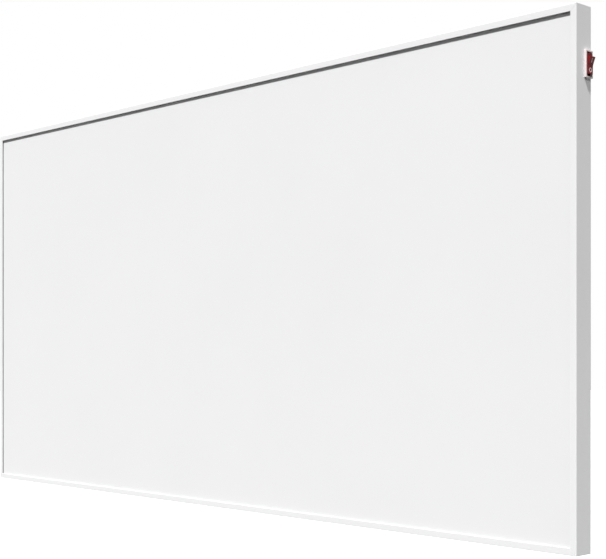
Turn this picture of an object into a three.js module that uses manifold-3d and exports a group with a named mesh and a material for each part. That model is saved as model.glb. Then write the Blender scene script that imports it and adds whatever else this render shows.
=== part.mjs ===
// Infrared panel heater that hangs on a wall: a flat radiating plate in a mitred aluminium frame,
// with a rocker switch in the right side and the wall brackets and cable box on the back.
//
// Millimetres, +Z up. +X is to the right of someone who faces the heater, +Y points into the wall.
// The wall is the plane y = 0, and the origin lies on it behind the centre of the panel.
import * as THREE from 'three';
import { mergeVertices } from 'three/addons/utils/BufferGeometryUtils.js';
import Module from 'manifold-3d';

// ---------------------------------------------------------------- driving dimensions

// Whole heater
const panelWidth = 1200;
const panelHeight = 600;
const frameDepth = 28;
const wallGap = 24; // from the wall to the back edge of the frame

// Clearances
const seat = 0.1; // between flat faces that rest on each other
const fit = 0.3; // round a piece that passes through or sits inside another
const mitreGap = 0.2; // between two rails at a corner, measured along the rail

// Frame extrusion: a counts inwards from the outer side face, b backwards from the front face
const outerWall = 1.4;
const lipWidth = 8;
const lipThickness = 1.5;
const webWall = 1.2;
const chamberReach = 10; // outer face to the inner face of the corner key chamber
const chamberDepth = 8.6;
const flangeReach = 12; // outer face to the edge of the rear flange
const edgeRadius = 0.5;

// Corner keys
const keyLength = 45;
const keyGrooves = 3;
const keyGroovePitch = 8;
const keyGrooveWidth = 2;
const keyGrooveDepth = 1;

// Plate, gasket and heating layers, front to back
const gasketFront = 0.8;
const gasketWeb = 0.9;
const gasketRear = 2.5;
const gasketSetBack = 1; // how far the gasket's front leg hides behind the edge of the lip
const plateThickness = 0.8;
const plateCornerRadius = 1.5;
const boardThickness = 1.6;
const boardInset = 12; // outer side face to the edge of the heating board
const busbarThickness = 0.3;
const busbarWidth = 8;
const busbarInset = 6; // edge of the heating board to the busbar
const solderTab = 14;
const foilThickness = 0.2;
const foilHoleRadius = 5;

// Back plate
const backThickness = 0.6;
const rimProud = 0.3; // the frame's back edge stands this far behind the back plate

// Wall brackets
const bracketInset = 200; // side edge of the panel to the centre of a bracket
const bracketDrop = 95; // top or bottom edge of the panel to the web of a bracket
const bracketWidth = 40;
const bracketThickness = 1.5;
const bracketBend = 1.5; // inner bend radius
const footHeight = 18;
const flangeHeight = 36;
const keyholeRise = 12; // web to the centre of the keyhole's wide end
const keyholeRadius = 5.25;
const keyholeTravel = 12;
const keyholeSlotWidth = 5.4;
const bracketScrewSpacing = 24;

// Screws
const bracketScrew = { head: 3.5, headHeight: 2.2, shank: 1.95, length: 7 };
const lidScrew = { head: 2.6, headHeight: 1.5, shank: 1.3, length: 10 };
const earthScrew = { head: 3.2, headHeight: 2.2, shank: 1.8, length: 6 };
const recessWidth = 0.9;
// Shares of the shank's radius (tip) and of the head's radius and height (the rest)
const screwForm = { tip: 0.35, side: 0.45, crown: 0.8, shoulder: 0.85, recess: 0.55, recessFloor: 0.4 };

// Cable box
const boxInset = 80; // right edge of the panel to the centre of the box
const boxRise = 85; // bottom edge of the panel to the centre of the box
const boxWidth = 90;
const boxHeight = 60;
const boxDepth = 20;
const boxWall = 2;
const boxCornerRadius = 6;
const lidThickness = 2;
const lidRib = 1.5;
const postRadius = 3.5;
const postInset = 6.5;

// Terminal block
const poleCount = 4;
const polePitch = 8;
const blockHeight = 17;
const blockDepth = 11;
const blockOffset = -12; // centre of the box to the centre of the block, along X
const blockLift = 1;
const poleScrewRadius = 1.9;
const blockShoulder = 2.75;

// Cable gland
const glandOffset = -14; // centre of the box to the gland's axis, along X
const glandHexFlats = 15;
const glandBore = 3.5;
const glandThread = 5.9;
const glandFlange = 5;
const glandTube = 7;
const glandNutWall = 1.2;
const glandNutDome = 3;
const locknutThickness = 3.5;
const glandStubProud = 1.5;
const sealWall = 1.2;
const sealLength = 6;

// Grommet in the back plate
const grommetOffsetX = 28;
const grommetOffsetZ = 12;
const grommetBore = 4.6;
const grommetNeck = 6;
const grommetFlange = 7.5;
const grommetLip = 1.2;

// Wires, thermal cut-outs and earth
const wireRadius = 1.1;
const wireSpacing = 2.7;
const wireBend = 3;
const wireDepth = 5; // back plate to the centre of a wire in the insulation
const wireInBlock = 4;
const wireLaneStep = 3.5;
const laneClearance = 0.5;
const channelMargin = 2.5;
const screwTipRoom = 1; // round the tip of a screw, in the insulation
const cutoutLength = 20;
const cutoutWidth = 6.5;
const cutoutThickness = 4;
const cutoutEdgeRadius = 1;
const cutoutPlug = 1.5;
const cutoutPlugRadius = 1.6;
const upperCutoutDrop = 196; // switch centre to the centre of the upper cut-out
const cutoutSpacing = 100;
const earthOffsetX = 15;
const earthOffsetZ = -17;
const lugRadius = 4;
const lugThickness = 0.8;

// Rocker switch: out along +X from the right side face, centred on the cut-out
const switchDrop = 64; // top edge of the panel to the centre of the switch
const switchDepth = 21; // front face of the frame to the centre of the switch
const bezelHeight = 30.2;
const bezelWidth = 13;
const bezelProud = 2.9;
const bezelCornerRadius = 0.8;
const housingHeight = 28.4;
const housingWidth = 11.4;
const housingReach = 19;
const housingFloor = 1.5;
const wellHeight = 26.7;
const wellWidth = 9.9;
const snapEarWidth = 6;
const snapEarHeight = 0.8;
const snapEarLength = 4;
const stopRibWidth = 1;
const stopRibSpan = 5.46; // lever pivot to the rib that stops the lever

// Rocker, about its pivot axis
const pivotReach = 3; // side face to the pivot, inwards
const rockerRadius = 13.05;
const rockerValley = 7.35; // pivot to the dip in the middle of the face
const rockerFaceSlope = 9.5; // degrees that each half rises from the dip
const rockerWall = 1.2;
const rockerRim = 1; // pivot to the open edge of the shell
const rockerTilt = 10.5; // degrees to either side of the middle
const trunnionRadius = 1.4;
const trunnionClearance = 0.2;
const trunnionBoss = 2.9;
const stemRadius = 2.4;
const stemReach = 5.5;
const stemBore = 1.5;
const stemBoreTop = 4;
const plungerRadius = 1.2;
const plungerReach = 9.45;
const plungerLength = 8.4;
const springTurns = 5;
const springWire = 0.18;
const springStepsPerTurn = 10;
const springSides = 6;

// Contact lever and terminals
const leverPivot = 13.2; // side face to the lever's pivot, inwards
const leverThickness = 0.8;
const leverReach = 9.6; // lever pivot to the end that holds the contact
const leverTail = 7; // lever pivot to the other end
const leverHalfWidth = 2;
const leverTilt = 6;
const leverPin = 0.5;
const leverPinLength = 3.3;
const contactRadius = 1.5;
const contactHeight = 0.8;
const contactSpan = 8.4; // lever pivot to the contact, along the lever
const terminalPitch = 9.2;
const bladeWidth = 6.3;
const bladeThickness = 0.8;
const bladeReach = 9; // bottom of the housing to the end of the blade
const terminalBase = 3.2;
const cheekThickness = 0.8;
const receptacleLength = 8;
const receptacleWall = 0.5;
const lampRadius = 1.7;
const lampLength = 8.5;
const lampRound = 0.8;
const lampTipRadius = 1.2;
const lampOffset = 0.8; // middle of its terminal to the lamp's axis

// Facets
const roundSides = 24;
const smallSides = 12;
const arcSteps = 4;
const weldDistance = 1e-4;

// ---------------------------------------------------------------- derived places

const frontFace = -(wallGap + frameDepth);
const depth = (b) => frontFace + b;
const plateFront = lipThickness + seat + gasketFront + seat;
const plateBack = plateFront + plateThickness;
const chamberFront = plateBack + seat + gasketRear + seat;
const chamberBack = chamberFront + chamberDepth;
const boardFront = plateBack + seat;
const boardBack = boardFront + boardThickness;
const busbarFront = boardBack + seat;
const busbarBack = busbarFront + busbarThickness;
const foilFront = busbarBack + seat;
const foilBack = foilFront + foilThickness;
const insulationFront = foilBack + seat;
const backPlateRear = frameDepth - rimProud;
const backPlateFront = backPlateRear - backThickness;
const railFlangeBack = backPlateFront - seat;
const railFlangeFront = railFlangeBack - webWall;
const insulationInset = flangeReach + fit;
const backPlateInset = outerWall + fit;
const plateInset = outerWall + seat + gasketWeb + seat;

const switchZ = panelHeight / 2 - switchDrop;
const switchY = depth(switchDepth);
const sideFace = panelWidth / 2;

const boxX = panelWidth / 2 - boxInset;
const boxZ = -panelHeight / 2 + boxRise;
const boxFloorFront = depth(backPlateRear) + seat;
const boxFloorBack = boxFloorFront + boxWall;
const boxRim = boxFloorFront + boxDepth;
const glandX = boxX + glandOffset;
const glandY = (boxFloorBack + boxRim) / 2;
const boxUnderside = boxZ - boxHeight / 2;
const grommetX = boxX + grommetOffsetX;
const grommetZ = boxZ + grommetOffsetZ;
const earthX = boxX + earthOffsetX;
const earthZ = boxZ + earthOffsetZ;
const blockX = boxX + blockOffset;
const blockZ = boxZ + blockLift;
const blockTop = blockZ + blockHeight / 2;
const blockY = boxFloorBack + seat + blockDepth / 2;
const poleX = (pole) => blockX + (pole - (poleCount - 1) / 2) * polePitch;
const laneZ = (lane) => blockTop + wireRadius + wireBend + lane * wireLaneStep;

const wireY = depth(backPlateFront - wireDepth);
const boardEdge = panelWidth / 2 - boardInset;
const busbarCentre = boardEdge - busbarInset - busbarWidth / 2;
const cutoutY = depth(insulationFront + seat + cutoutThickness / 2);
const upperCutoutZ = switchZ - upperCutoutDrop;
const lowerCutoutZ = upperCutoutZ - cutoutSpacing;
const feedDrop = cutoutLength / 2 + cutoutPlug + fit;
const switchedLaneX = grommetX + wireSpacing + wireRadius + laneClearance + cutoutWidth / 2;
const boardFeedZ = lowerCutoutZ - feedDrop - 2 * wireBend - wireRadius;

const degrees = THREE.MathUtils.degToRad;

// ---------------------------------------------------------------- solids, joined and cut

const wasm = await Module();
wasm.setup();

function solidOf(geometry) {
  const bare = geometry.clone();
  for (const attribute of Object.keys(bare.attributes)) {
    if (attribute !== 'position') {
      bare.deleteAttribute(attribute);
    }
  }
  const welded = mergeVertices(bare, weldDistance);
  return new wasm.Manifold(new wasm.Mesh({
    numProp: 3,
    vertProperties: welded.attributes.position.array,
    triVerts: new Uint32Array(welded.index.array),
  }));
}

function geometryOf(solid) {
  const mesh = solid.getMesh();
  const geometry = new THREE.BufferGeometry();
  geometry.setAttribute('position', new THREE.BufferAttribute(mesh.vertProperties, 3));
  geometry.setIndex(new THREE.BufferAttribute(mesh.triVerts, 1));
  const faceted = geometry.toNonIndexed();
  faceted.computeVertexNormals();
  return faceted;
}

function join(...pieces) {
  return geometryOf(pieces.map(solidOf).reduce((whole, piece) => whole.add(piece)));
}

function cut(body, ...tools) {
  return geometryOf(tools.map(solidOf).reduce((rest, tool) => rest.subtract(tool), solidOf(body)));
}

function common(first, second) {
  return geometryOf(solidOf(first).intersect(solidOf(second)));
}

// ---------------------------------------------------------------- basic forms

const X = new THREE.Vector3(1, 0, 0);
const Y = new THREE.Vector3(0, 1, 0);
const Z = new THREE.Vector3(0, 0, 1);

// A block between pairs of planes, each pair in either order.
function block(x0, x1, y0, y1, z0, z1) {
  const box = new THREE.BoxGeometry(Math.abs(x1 - x0), Math.abs(y1 - y0), Math.abs(z1 - z0));
  return box.translate((x0 + x1) / 2, (y0 + y1) / 2, (z0 + z1) / 2);
}

function extrude(shape, length) {
  return new THREE.ExtrudeGeometry(shape, {
    depth: length,
    bevelEnabled: false,
    curveSegments: arcSteps,
  });
}

// A profile drawn in (y, z) and drawn out along X.
function alongX(shape, low, high) {
  const basis = new THREE.Matrix4().makeBasis(Y, Z, X);
  return extrude(shape, high - low).applyMatrix4(basis).translate(low, 0, 0);
}

// An outline drawn in (x, z) and given its thickness along Y.
function alongY(shape, low, high) {
  const basis = new THREE.Matrix4().makeBasis(X, Z, Y.clone().negate());
  return extrude(shape, high - low).applyMatrix4(basis).translate(0, high, 0);
}

function rodX(radius, low, high, sides = smallSides) {
  const rod = new THREE.CylinderGeometry(radius, radius, high - low, sides);
  return rod.rotateZ(-Math.PI / 2).translate((low + high) / 2, 0, 0);
}

// A rod along Y between two places, in either order.
function rodY(radius, from, to, sides = smallSides) {
  const rod = new THREE.CylinderGeometry(radius, radius, Math.abs(to - from), sides);
  return rod.translate(0, (from + to) / 2, 0);
}

function rodZ(radius, low, high, sides = smallSides) {
  const rod = new THREE.CylinderGeometry(radius, radius, high - low, sides);
  return rod.rotateX(Math.PI / 2).translate(0, 0, (low + high) / 2);
}

// A profile of [radius, height] pairs turned about Y, going up outside and down inside.
function revolve(profile, sides = smallSides) {
  return new THREE.LatheGeometry(profile.map(([r, h]) => new THREE.Vector2(r, h)), sides);
}

function ring(inner, outer, low, high, sides = roundSides) {
  return revolve([[inner, low], [outer, low], [outer, high], [inner, high], [inner, low]], sides);
}

function outline(points) {
  return new THREE.Shape(points.map(([x, y]) => new THREE.Vector2(x, y)));
}

function roundedRectangle(width, height, radius) {
  const x = width / 2 - radius;
  const y = height / 2 - radius;
  const shape = new THREE.Shape();
  shape.absarc(x, y, radius, 0, Math.PI / 2);
  shape.absarc(-x, y, radius, Math.PI / 2, Math.PI);
  shape.absarc(-x, -y, radius, Math.PI, 1.5 * Math.PI);
  shape.absarc(x, -y, radius, 1.5 * Math.PI, 2 * Math.PI);
  return shape;
}

// A hexagonal prism along Z, with its flats at the given distance across.
function hexagonZ(flats, low, high) {
  return rodZ(flats / Math.sqrt(3), low, high, 6);
}

// ---------------------------------------------------------------- finishes and meshes

const finishes = {
  whitePowder: { color: 0xf0f0f0, roughness: 0.5, metalness: 0 },
  whitePlate: { color: 0xf1f1f1, roughness: 0.6, metalness: 0 },
  zinc: { color: 0xb4b8bb, roughness: 0.4, metalness: 0.9 },
  castZinc: { color: 0x9a9da0, roughness: 0.55, metalness: 0.8 },
  silicone: { color: 0xd8d8d4, roughness: 0.7, metalness: 0 },
  laminate: { color: 0x3f6b3a, roughness: 0.6, metalness: 0 },
  copper: { color: 0xb87352, roughness: 0.35, metalness: 1 },
  foil: { color: 0xd9dbdd, roughness: 0.25, metalness: 1 },
  mineralWool: { color: 0xc9bd94, roughness: 1, metalness: 0 },
  blackPlastic: { color: 0x1c1c1d, roughness: 0.5, metalness: 0 },
  greyPlastic: { color: 0x9b9c9e, roughness: 0.55, metalness: 0 },
  whiteNylon: { color: 0xe9e6e4, roughness: 0.4, metalness: 0 },
  redRocker: { color: 0x6d1c20, roughness: 0.25, metalness: 0 },
  blackRubber: { color: 0x171717, roughness: 0.8, metalness: 0 },
  brass: { color: 0xc9a85a, roughness: 0.3, metalness: 1 },
  spring: { color: 0xaeb1b4, roughness: 0.3, metalness: 1 },
  glass: { color: 0xf2d9d0, roughness: 0.1, metalness: 0 },
  brownWire: { color: 0x5b3820, roughness: 0.5, metalness: 0 },
  blueWire: { color: 0x2a5fa5, roughness: 0.5, metalness: 0 },
  greenWire: { color: 0x6d9c2f, roughness: 0.5, metalness: 0 },
};

function add(group, name, geometry, finish) {
  const mesh = new THREE.Mesh(geometry, new THREE.MeshStandardMaterial(finishes[finish]));
  mesh.name = name;
  group.add(mesh);
  return mesh;
}

const heater = new THREE.Group();

// ---------------------------------------------------------------- mitred rails

// The frame's section: lip, plate pocket, corner key chamber and rear flange on one outer wall.
function frameSection() {
  const r = edgeRadius;
  const section = new THREE.Shape();
  section.absarc(lipWidth - r, r, r, -Math.PI / 2, 0);
  section.lineTo(lipWidth, lipThickness);
  section.lineTo(outerWall, lipThickness);
  section.lineTo(outerWall, chamberFront);
  section.lineTo(chamberReach, chamberFront);
  section.lineTo(chamberReach, chamberBack);
  section.lineTo(outerWall, chamberBack);
  section.lineTo(outerWall, railFlangeFront);
  section.lineTo(flangeReach, railFlangeFront);
  section.lineTo(flangeReach, railFlangeBack);
  section.lineTo(outerWall, railFlangeBack);
  section.lineTo(outerWall, frameDepth);
  section.absarc(r, frameDepth - r, r, Math.PI / 2, Math.PI);
  section.absarc(r, r, r, Math.PI, 1.5 * Math.PI);
  const front = chamberFront + webWall;
  const back = chamberBack - webWall;
  const inner = chamberReach - webWall;
  section.holes.push(outline([[outerWall, front], [inner, front], [inner, back], [outerWall, back]]));
  return section;
}

function gasketSection() {
  const outer = outerWall + seat;
  const web = outer + gasketWeb;
  const frontLeg = lipWidth - gasketSetBack;
  const rearLeg = chamberReach - gasketSetBack / 2;
  const front = lipThickness + seat;
  return outline([
    [outer, front], [frontLeg, front], [frontLeg, plateFront - seat], [web, plateFront - seat],
    [web, plateBack + seat], [rearLeg, plateBack + seat], [rearLeg, chamberFront - seat],
    [outer, chamberFront - seat],
  ]);
}

// A section drawn out along the top edge, with both ends mitred at 45 degrees.
function mitredRail(section, length, halfHeight) {
  const rail = extrude(section, length);
  const position = rail.getAttribute('position');
  for (let i = 0; i < position.count; i += 1) {
    const inset = position.getX(i) + mitreGap / 2;
    const atStart = position.getZ(i) < length / 2;
    position.setZ(i, atStart ? inset : length - inset);
  }
  rail.rotateY(Math.PI / 2);
  return rail.translate(-length / 2, frontFace, halfHeight);
}

const sides = [
  { name: 'top', turn: 0, length: panelWidth, half: panelHeight / 2 },
  { name: 'right', turn: 1, length: panelHeight, half: panelWidth / 2 },
  { name: 'bottom', turn: 2, length: panelWidth, half: panelHeight / 2 },
  { name: 'left', turn: 3, length: panelHeight, half: panelWidth / 2 },
];

function railOn(side, section) {
  return mitredRail(section, side.length, side.half).rotateY(side.turn * Math.PI / 2);
}

// The switch snaps into the outer wall, and its housing passes the rear flange.
function switchCutout() {
  const halfHeight = housingHeight / 2 + fit;
  const halfWidth = housingWidth / 2 + fit;
  return block(
    sideFace - flangeReach - fit, sideFace + fit,
    switchY - halfWidth, switchY + halfWidth,
    switchZ - halfHeight, switchZ + halfHeight,
  );
}

// Room behind the wall for the snap ears, which only the flange is in the way of.
function snapEarRoom() {
  const halfHeight = housingHeight / 2 + snapEarHeight + 2 * fit;
  return block(
    sideFace - flangeReach - fit, sideFace - outerWall - fit,
    switchY - snapEarWidth / 2 - fit, switchY + housingWidth,
    switchZ - halfHeight, switchZ + halfHeight,
  );
}

for (const side of sides) {
  const rail = railOn(side, frameSection());
  const finished = side.name === 'right' ? cut(rail, switchCutout(), snapEarRoom()) : rail;
  add(heater, `frame_${side.name}`, finished, 'whitePowder');
  add(heater, `edge_gasket_${side.name}`, railOn(side, gasketSection()), 'silicone');
}

// ---------------------------------------------------------------- corner keys

// An L of the chamber's clear width, with crimping grooves in the inner edge of each leg.
function cornerKeyOutline(sideX, sideZ) {
  const near = outerWall + fit;
  const far = chamberReach - webWall - fit;
  const leg = [];
  for (let i = 0; i < keyGrooves; i += 1) {
    const start = keyLength - (i + 1) * keyGroovePitch;
    leg.push([start + keyGrooveWidth, far], [start + keyGrooveWidth, far - keyGrooveDepth]);
    leg.push([start, far - keyGrooveDepth], [start, far]);
  }
  const mirrored = leg.map(([u, v]) => [v, u]).reverse();
  const points = [
    [near, near], [keyLength, near], [keyLength, far], ...leg, [far, far],
    ...mirrored, [far, keyLength], [near, keyLength],
  ];
  return outline(points.map(([u, v]) => [
    sideX * (panelWidth / 2 - u),
    sideZ * (panelHeight / 2 - v),
  ]));
}

const corners = [
  { name: 'top_left', sideX: -1, sideZ: 1 },
  { name: 'top_right', sideX: 1, sideZ: 1 },
  { name: 'bottom_left', sideX: -1, sideZ: -1 },
  { name: 'bottom_right', sideX: 1, sideZ: -1 },
];

for (const corner of corners) {
  const front = depth(chamberFront + webWall + fit);
  const back = depth(chamberBack - webWall - fit);
  const key = alongY(cornerKeyOutline(corner.sideX, corner.sideZ), front, back);
  add(heater, `corner_key_${corner.name}`, key, 'castZinc');
}

// ---------------------------------------------------------------- plate and heating layers

const plateShape = roundedRectangle(
  panelWidth - 2 * plateInset,
  panelHeight - 2 * plateInset,
  plateCornerRadius,
);
add(heater, 'front_plate', alongY(plateShape, depth(plateFront), depth(plateBack)), 'whitePlate');

const boardShape = roundedRectangle(
  panelWidth - 2 * boardInset,
  panelHeight - 2 * boardInset,
  plateCornerRadius,
);
add(heater, 'heating_board', alongY(boardShape, depth(boardFront), depth(boardBack)), 'laminate');

// A copper strip down one end of the board, with a wider tab where its wire is soldered.
function busbar(sideX, tabZ) {
  const halfHeight = panelHeight / 2 - boardInset - busbarInset;
  const inner = busbarCentre - busbarWidth / 2;
  const outer = busbarCentre + busbarWidth / 2;
  const tab = busbarCentre - solderTab / 2;
  const points = [
    [outer, -halfHeight], [outer, halfHeight], [inner, halfHeight],
    [inner, tabZ + solderTab / 2], [tab, tabZ + solderTab / 2],
    [tab, tabZ - solderTab / 2], [inner, tabZ - solderTab / 2], [inner, -halfHeight],
  ];
  const shape = outline(points.map(([x, z]) => [sideX * x, z]));
  return alongY(shape, depth(busbarFront), depth(busbarBack));
}

add(heater, 'busbar_left', busbar(-1, grommetZ), 'copper');
add(heater, 'busbar_right', busbar(1, boardFeedZ), 'copper');

// Places where a wire comes down through the insulation and the foil to a busbar.
const boardFeeds = [
  { x: -busbarCentre, z: grommetZ },
  { x: busbarCentre, z: boardFeedZ },
];

function feedHoles(radius, front, back) {
  const hole = rodY(radius, depth(front - fit), depth(back + fit));
  return boardFeeds.map(({ x, z }) => hole.clone().translate(x, 0, z));
}

const foil = block(
  -(panelWidth / 2 - insulationInset), panelWidth / 2 - insulationInset,
  depth(foilFront), depth(foilBack),
  -(panelHeight / 2 - insulationInset), panelHeight / 2 - insulationInset,
);
add(heater, 'reflector_foil', cut(foil, ...feedHoles(foilHoleRadius, foilFront, foilBack)), 'foil');

// ---------------------------------------------------------------- wall bracket places

const brackets = corners.map(({ name, sideX, sideZ }) => ({
  name,
  x: sideX * (panelWidth / 2 - bracketInset),
  z: sideZ * (panelHeight / 2 - bracketDrop),
}));

const bracketScrewPlaces = brackets.flatMap(({ name, x, z }) => [-1, 1].map((side) => ({
  name: `${name}_${side < 0 ? 'a' : 'b'}`,
  x: x + side * bracketScrewSpacing / 2,
  z: z - footHeight / 2 - bracketBend,
})));

// ---------------------------------------------------------------- insulation and back plate

// Slots, windows and pockets in the insulation for everything that lies inside the casing.
function insulationCuts() {
  const rear = depth(frameDepth);
  const through = depth(insulationFront - fit);
  const laneFloor = wireY - wireRadius - channelMargin;
  const laneLeft = grommetX - wireSpacing - channelMargin - wireRadius;
  const laneRight = switchedLaneX + wireRadius + channelMargin;
  const halfSwitch = housingHeight / 2 + channelMargin;
  const halfChannel = wireRadius + channelMargin;
  const switchPocket = block(
    laneLeft, sideFace,
    switchY - housingWidth / 2 - channelMargin, rear,
    switchZ - halfSwitch, switchZ + halfSwitch,
  );
  const riser = block(
    laneLeft, laneRight, laneFloor, rear,
    grommetZ - grommetFlange - fit, switchZ + halfSwitch,
  );
  const neutralRun = block(
    -busbarCentre - foilHoleRadius, laneRight, laneFloor, rear,
    grommetZ - halfChannel, grommetZ + halfChannel,
  );
  const cutoutWindow = block(
    switchedLaneX - cutoutWidth / 2 - channelMargin, switchedLaneX + cutoutWidth / 2 + channelMargin,
    through, rear,
    boardFeedZ - halfChannel, upperCutoutZ + feedDrop + 2 * wireBend + halfChannel,
  );
  const boardFeed = block(
    switchedLaneX, busbarCentre + foilHoleRadius, through, rear,
    boardFeedZ - halfChannel, boardFeedZ + halfChannel,
  );
  const grommetPocket = rodY(grommetFlange + fit, laneFloor, rear, roundSides)
    .translate(grommetX, 0, grommetZ);
  const tipPocket = ({ shank, length }, x, z) => rodY(
    shank + fit + screwTipRoom,
    depth(backPlateRear) - length,
    rear,
  ).translate(x, 0, z);
  return [
    switchPocket, riser, neutralRun, cutoutWindow, boardFeed, grommetPocket,
    ...feedHoles(foilHoleRadius, insulationFront, frameDepth),
    ...bracketScrewPlaces.map(({ x, z }) => tipPocket(bracketScrew, x, z)),
    tipPocket(earthScrew, earthX, earthZ),
  ];
}

const insulation = block(
  -(panelWidth / 2 - insulationInset), panelWidth / 2 - insulationInset,
  depth(insulationFront), depth(backPlateFront - seat),
  -(panelHeight / 2 - insulationInset), panelHeight / 2 - insulationInset,
);
add(heater, 'insulation_board', cut(insulation, ...insulationCuts()), 'mineralWool');

function backPlate() {
  const shape = roundedRectangle(
    panelWidth - 2 * backPlateInset,
    panelHeight - 2 * backPlateInset,
    plateCornerRadius,
  );
  const hole = (radius, x, z) => rodY(radius, depth(backPlateFront - fit), depth(backPlateRear + fit))
    .translate(x, 0, z);
  return cut(
    alongY(shape, depth(backPlateFront), depth(backPlateRear)),
    ...bracketScrewPlaces.map(({ x, z }) => hole(bracketScrew.shank + fit, x, z)),
    hole(grommetNeck + fit, grommetX, grommetZ),
    hole(earthScrew.shank + fit, earthX, earthZ),
  );
}

add(heater, 'back_plate', backPlate(), 'zinc');

// ---------------------------------------------------------------- screws

// A pan head screw on the Y axis, with its head towards +Y, the head's seat at y = 0
// and a cross recess.
function panHeadScrew({ head, headHeight, shank, length }) {
  const { tip, side, crown, shoulder, recess, recessFloor } = screwForm;
  const body = revolve([
    [0, -length], [shank * tip, -length], [shank, -length + shank], [shank, 0],
    [head, 0], [head, headHeight * side], [head * crown, headHeight * shoulder], [0, headHeight],
  ]);
  const reach = head * recess;
  const floor = headHeight * recessFloor;
  const half = recessWidth / 2;
  const upright = block(-half, half, floor, headHeight + fit, -reach, reach);
  const across = block(-reach, reach, floor, headHeight + fit, -half, half);
  return cut(body, upright, across);
}

const bracketFootBack = depth(backPlateRear) + seat + bracketThickness;
for (const { name, x, z } of bracketScrewPlaces) {
  const screw = add(heater, `bracket_screw_${name}`, panHeadScrew(bracketScrew), 'zinc');
  screw.position.set(x, bracketFootBack + seat, z);
}

// ---------------------------------------------------------------- wall brackets

// A Z of bent sheet: foot down on the back plate, web across the gap, flange up along the wall.
function bracketSection() {
  const plate = depth(backPlateRear) + seat;
  const t = bracketThickness;
  const inner = bracketBend;
  const outer = bracketBend + t;
  const section = new THREE.Shape();
  section.moveTo(plate, -footHeight);
  section.lineTo(plate + t, -footHeight);
  section.absarc(plate + t + inner, -inner, inner, Math.PI, Math.PI / 2, true);
  section.absarc(-outer, outer, outer, -Math.PI / 2, 0, false);
  section.lineTo(0, flangeHeight);
  section.lineTo(-t, flangeHeight);
  section.absarc(-t - inner, t + inner, inner, 0, -Math.PI / 2, true);
  section.absarc(plate + outer, t - outer, outer, Math.PI / 2, Math.PI, false);
  return section;
}

function wallBracket() {
  const z = alongX(bracketSection(), -bracketWidth / 2, bracketWidth / 2);
  const through = -bracketThickness - fit;
  const slotTop = keyholeRise + keyholeTravel;
  const half = keyholeSlotWidth / 2;
  const footHole = rodY(bracketScrew.shank + fit, depth(frameDepth) - wallGap / 2, -wallGap / 2);
  const screwZ = -footHeight / 2 - bracketBend;
  return cut(
    z,
    rodY(keyholeRadius, through, fit, roundSides).translate(0, 0, keyholeRise),
    rodY(half, through, fit).translate(0, 0, slotTop),
    block(-half, half, through, fit, keyholeRise, slotTop),
    footHole.clone().translate(-bracketScrewSpacing / 2, 0, screwZ),
    footHole.clone().translate(bracketScrewSpacing / 2, 0, screwZ),
  );
}

for (const { name, x, z } of brackets) {
  add(heater, `wall_bracket_${name}`, wallBracket(), 'zinc').position.set(x, 0, z);
}

// ---------------------------------------------------------------- cable box

const postPlaces = [
  { name: 'upper', x: -(boxWidth / 2 - postInset), z: boxHeight / 2 - postInset },
  { name: 'lower', x: boxWidth / 2 - postInset, z: -(boxHeight / 2 - postInset) },
];
const glandHoleRadius = glandThread + fit;

function cableBox() {
  const inner = roundedRectangle(
    boxWidth - 2 * boxWall,
    boxHeight - 2 * boxWall,
    boxCornerRadius - boxWall,
  );
  const shell = cut(
    alongY(roundedRectangle(boxWidth, boxHeight, boxCornerRadius), boxFloorFront, boxRim),
    alongY(inner, boxFloorBack, boxRim + fit),
  );
  const posts = postPlaces.map(({ x, z }) => rodY(postRadius, boxFloorBack - fit, boxRim - lidRib - fit)
    .translate(x, 0, z));
  const pilots = postPlaces.map(({ x, z }) => rodY(lidScrew.shank + fit, boxFloorBack, boxRim)
    .translate(x, 0, z));
  const floorHole = (radius, x, z) => rodY(radius, boxFloorFront - fit, boxFloorBack + fit, roundSides)
    .translate(x - boxX, 0, z - boxZ);
  const lugSlot = block(
    -wireRadius - fit, wireRadius + fit,
    boxFloorFront - fit, boxFloorBack + fit,
    0, 2 * lugRadius + fit,
  );
  const glandHole = rodZ(glandHoleRadius, -boxHeight / 2 - fit, -boxHeight / 2 + boxWall + fit, roundSides)
    .translate(glandX - boxX, glandY, 0);
  return cut(
    join(shell, ...posts),
    ...pilots,
    floorHole(grommetFlange + fit, grommetX, grommetZ),
    floorHole(lugRadius + fit, earthX, earthZ),
    lugSlot.translate(earthX - boxX, 0, earthZ - boxZ),
    glandHole,
  );
}

function cableBoxLid() {
  const plate = alongY(roundedRectangle(boxWidth, boxHeight, boxCornerRadius), boxRim + seat, lidBack);
  const ribWidth = boxWidth - 2 * boxWall - 2 * fit;
  const ribHeight = boxHeight - 2 * boxWall - 2 * fit;
  const ribOutline = roundedRectangle(ribWidth, ribHeight, boxCornerRadius - boxWall - fit);
  const ribHollow = roundedRectangle(ribWidth - 2 * lidRib, ribHeight - 2 * lidRib, boxCornerRadius / 2);
  const rib = cut(
    alongY(ribOutline, boxRim - lidRib, boxRim + 2 * seat),
    alongY(ribHollow, boxRim - 2 * lidRib, boxRim + lidThickness),
  );
  const holes = postPlaces.map(({ x, z }) => rodY(lidScrew.shank + fit, boxRim - 2 * lidRib, lidBack + fit)
    .translate(x, 0, z));
  const locknutNotch = block(
    -glandHexFlats / 2 - fit, glandHexFlats / 2 + fit,
    boxRim - 2 * lidRib, boxRim + seat,
    -boxHeight / 2, -boxHeight / 2 + boxWall + locknutThickness + glandStubProud + fit,
  ).translate(glandX - boxX, 0, 0);
  return cut(join(plate, rib), ...holes, locknutNotch);
}

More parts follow.
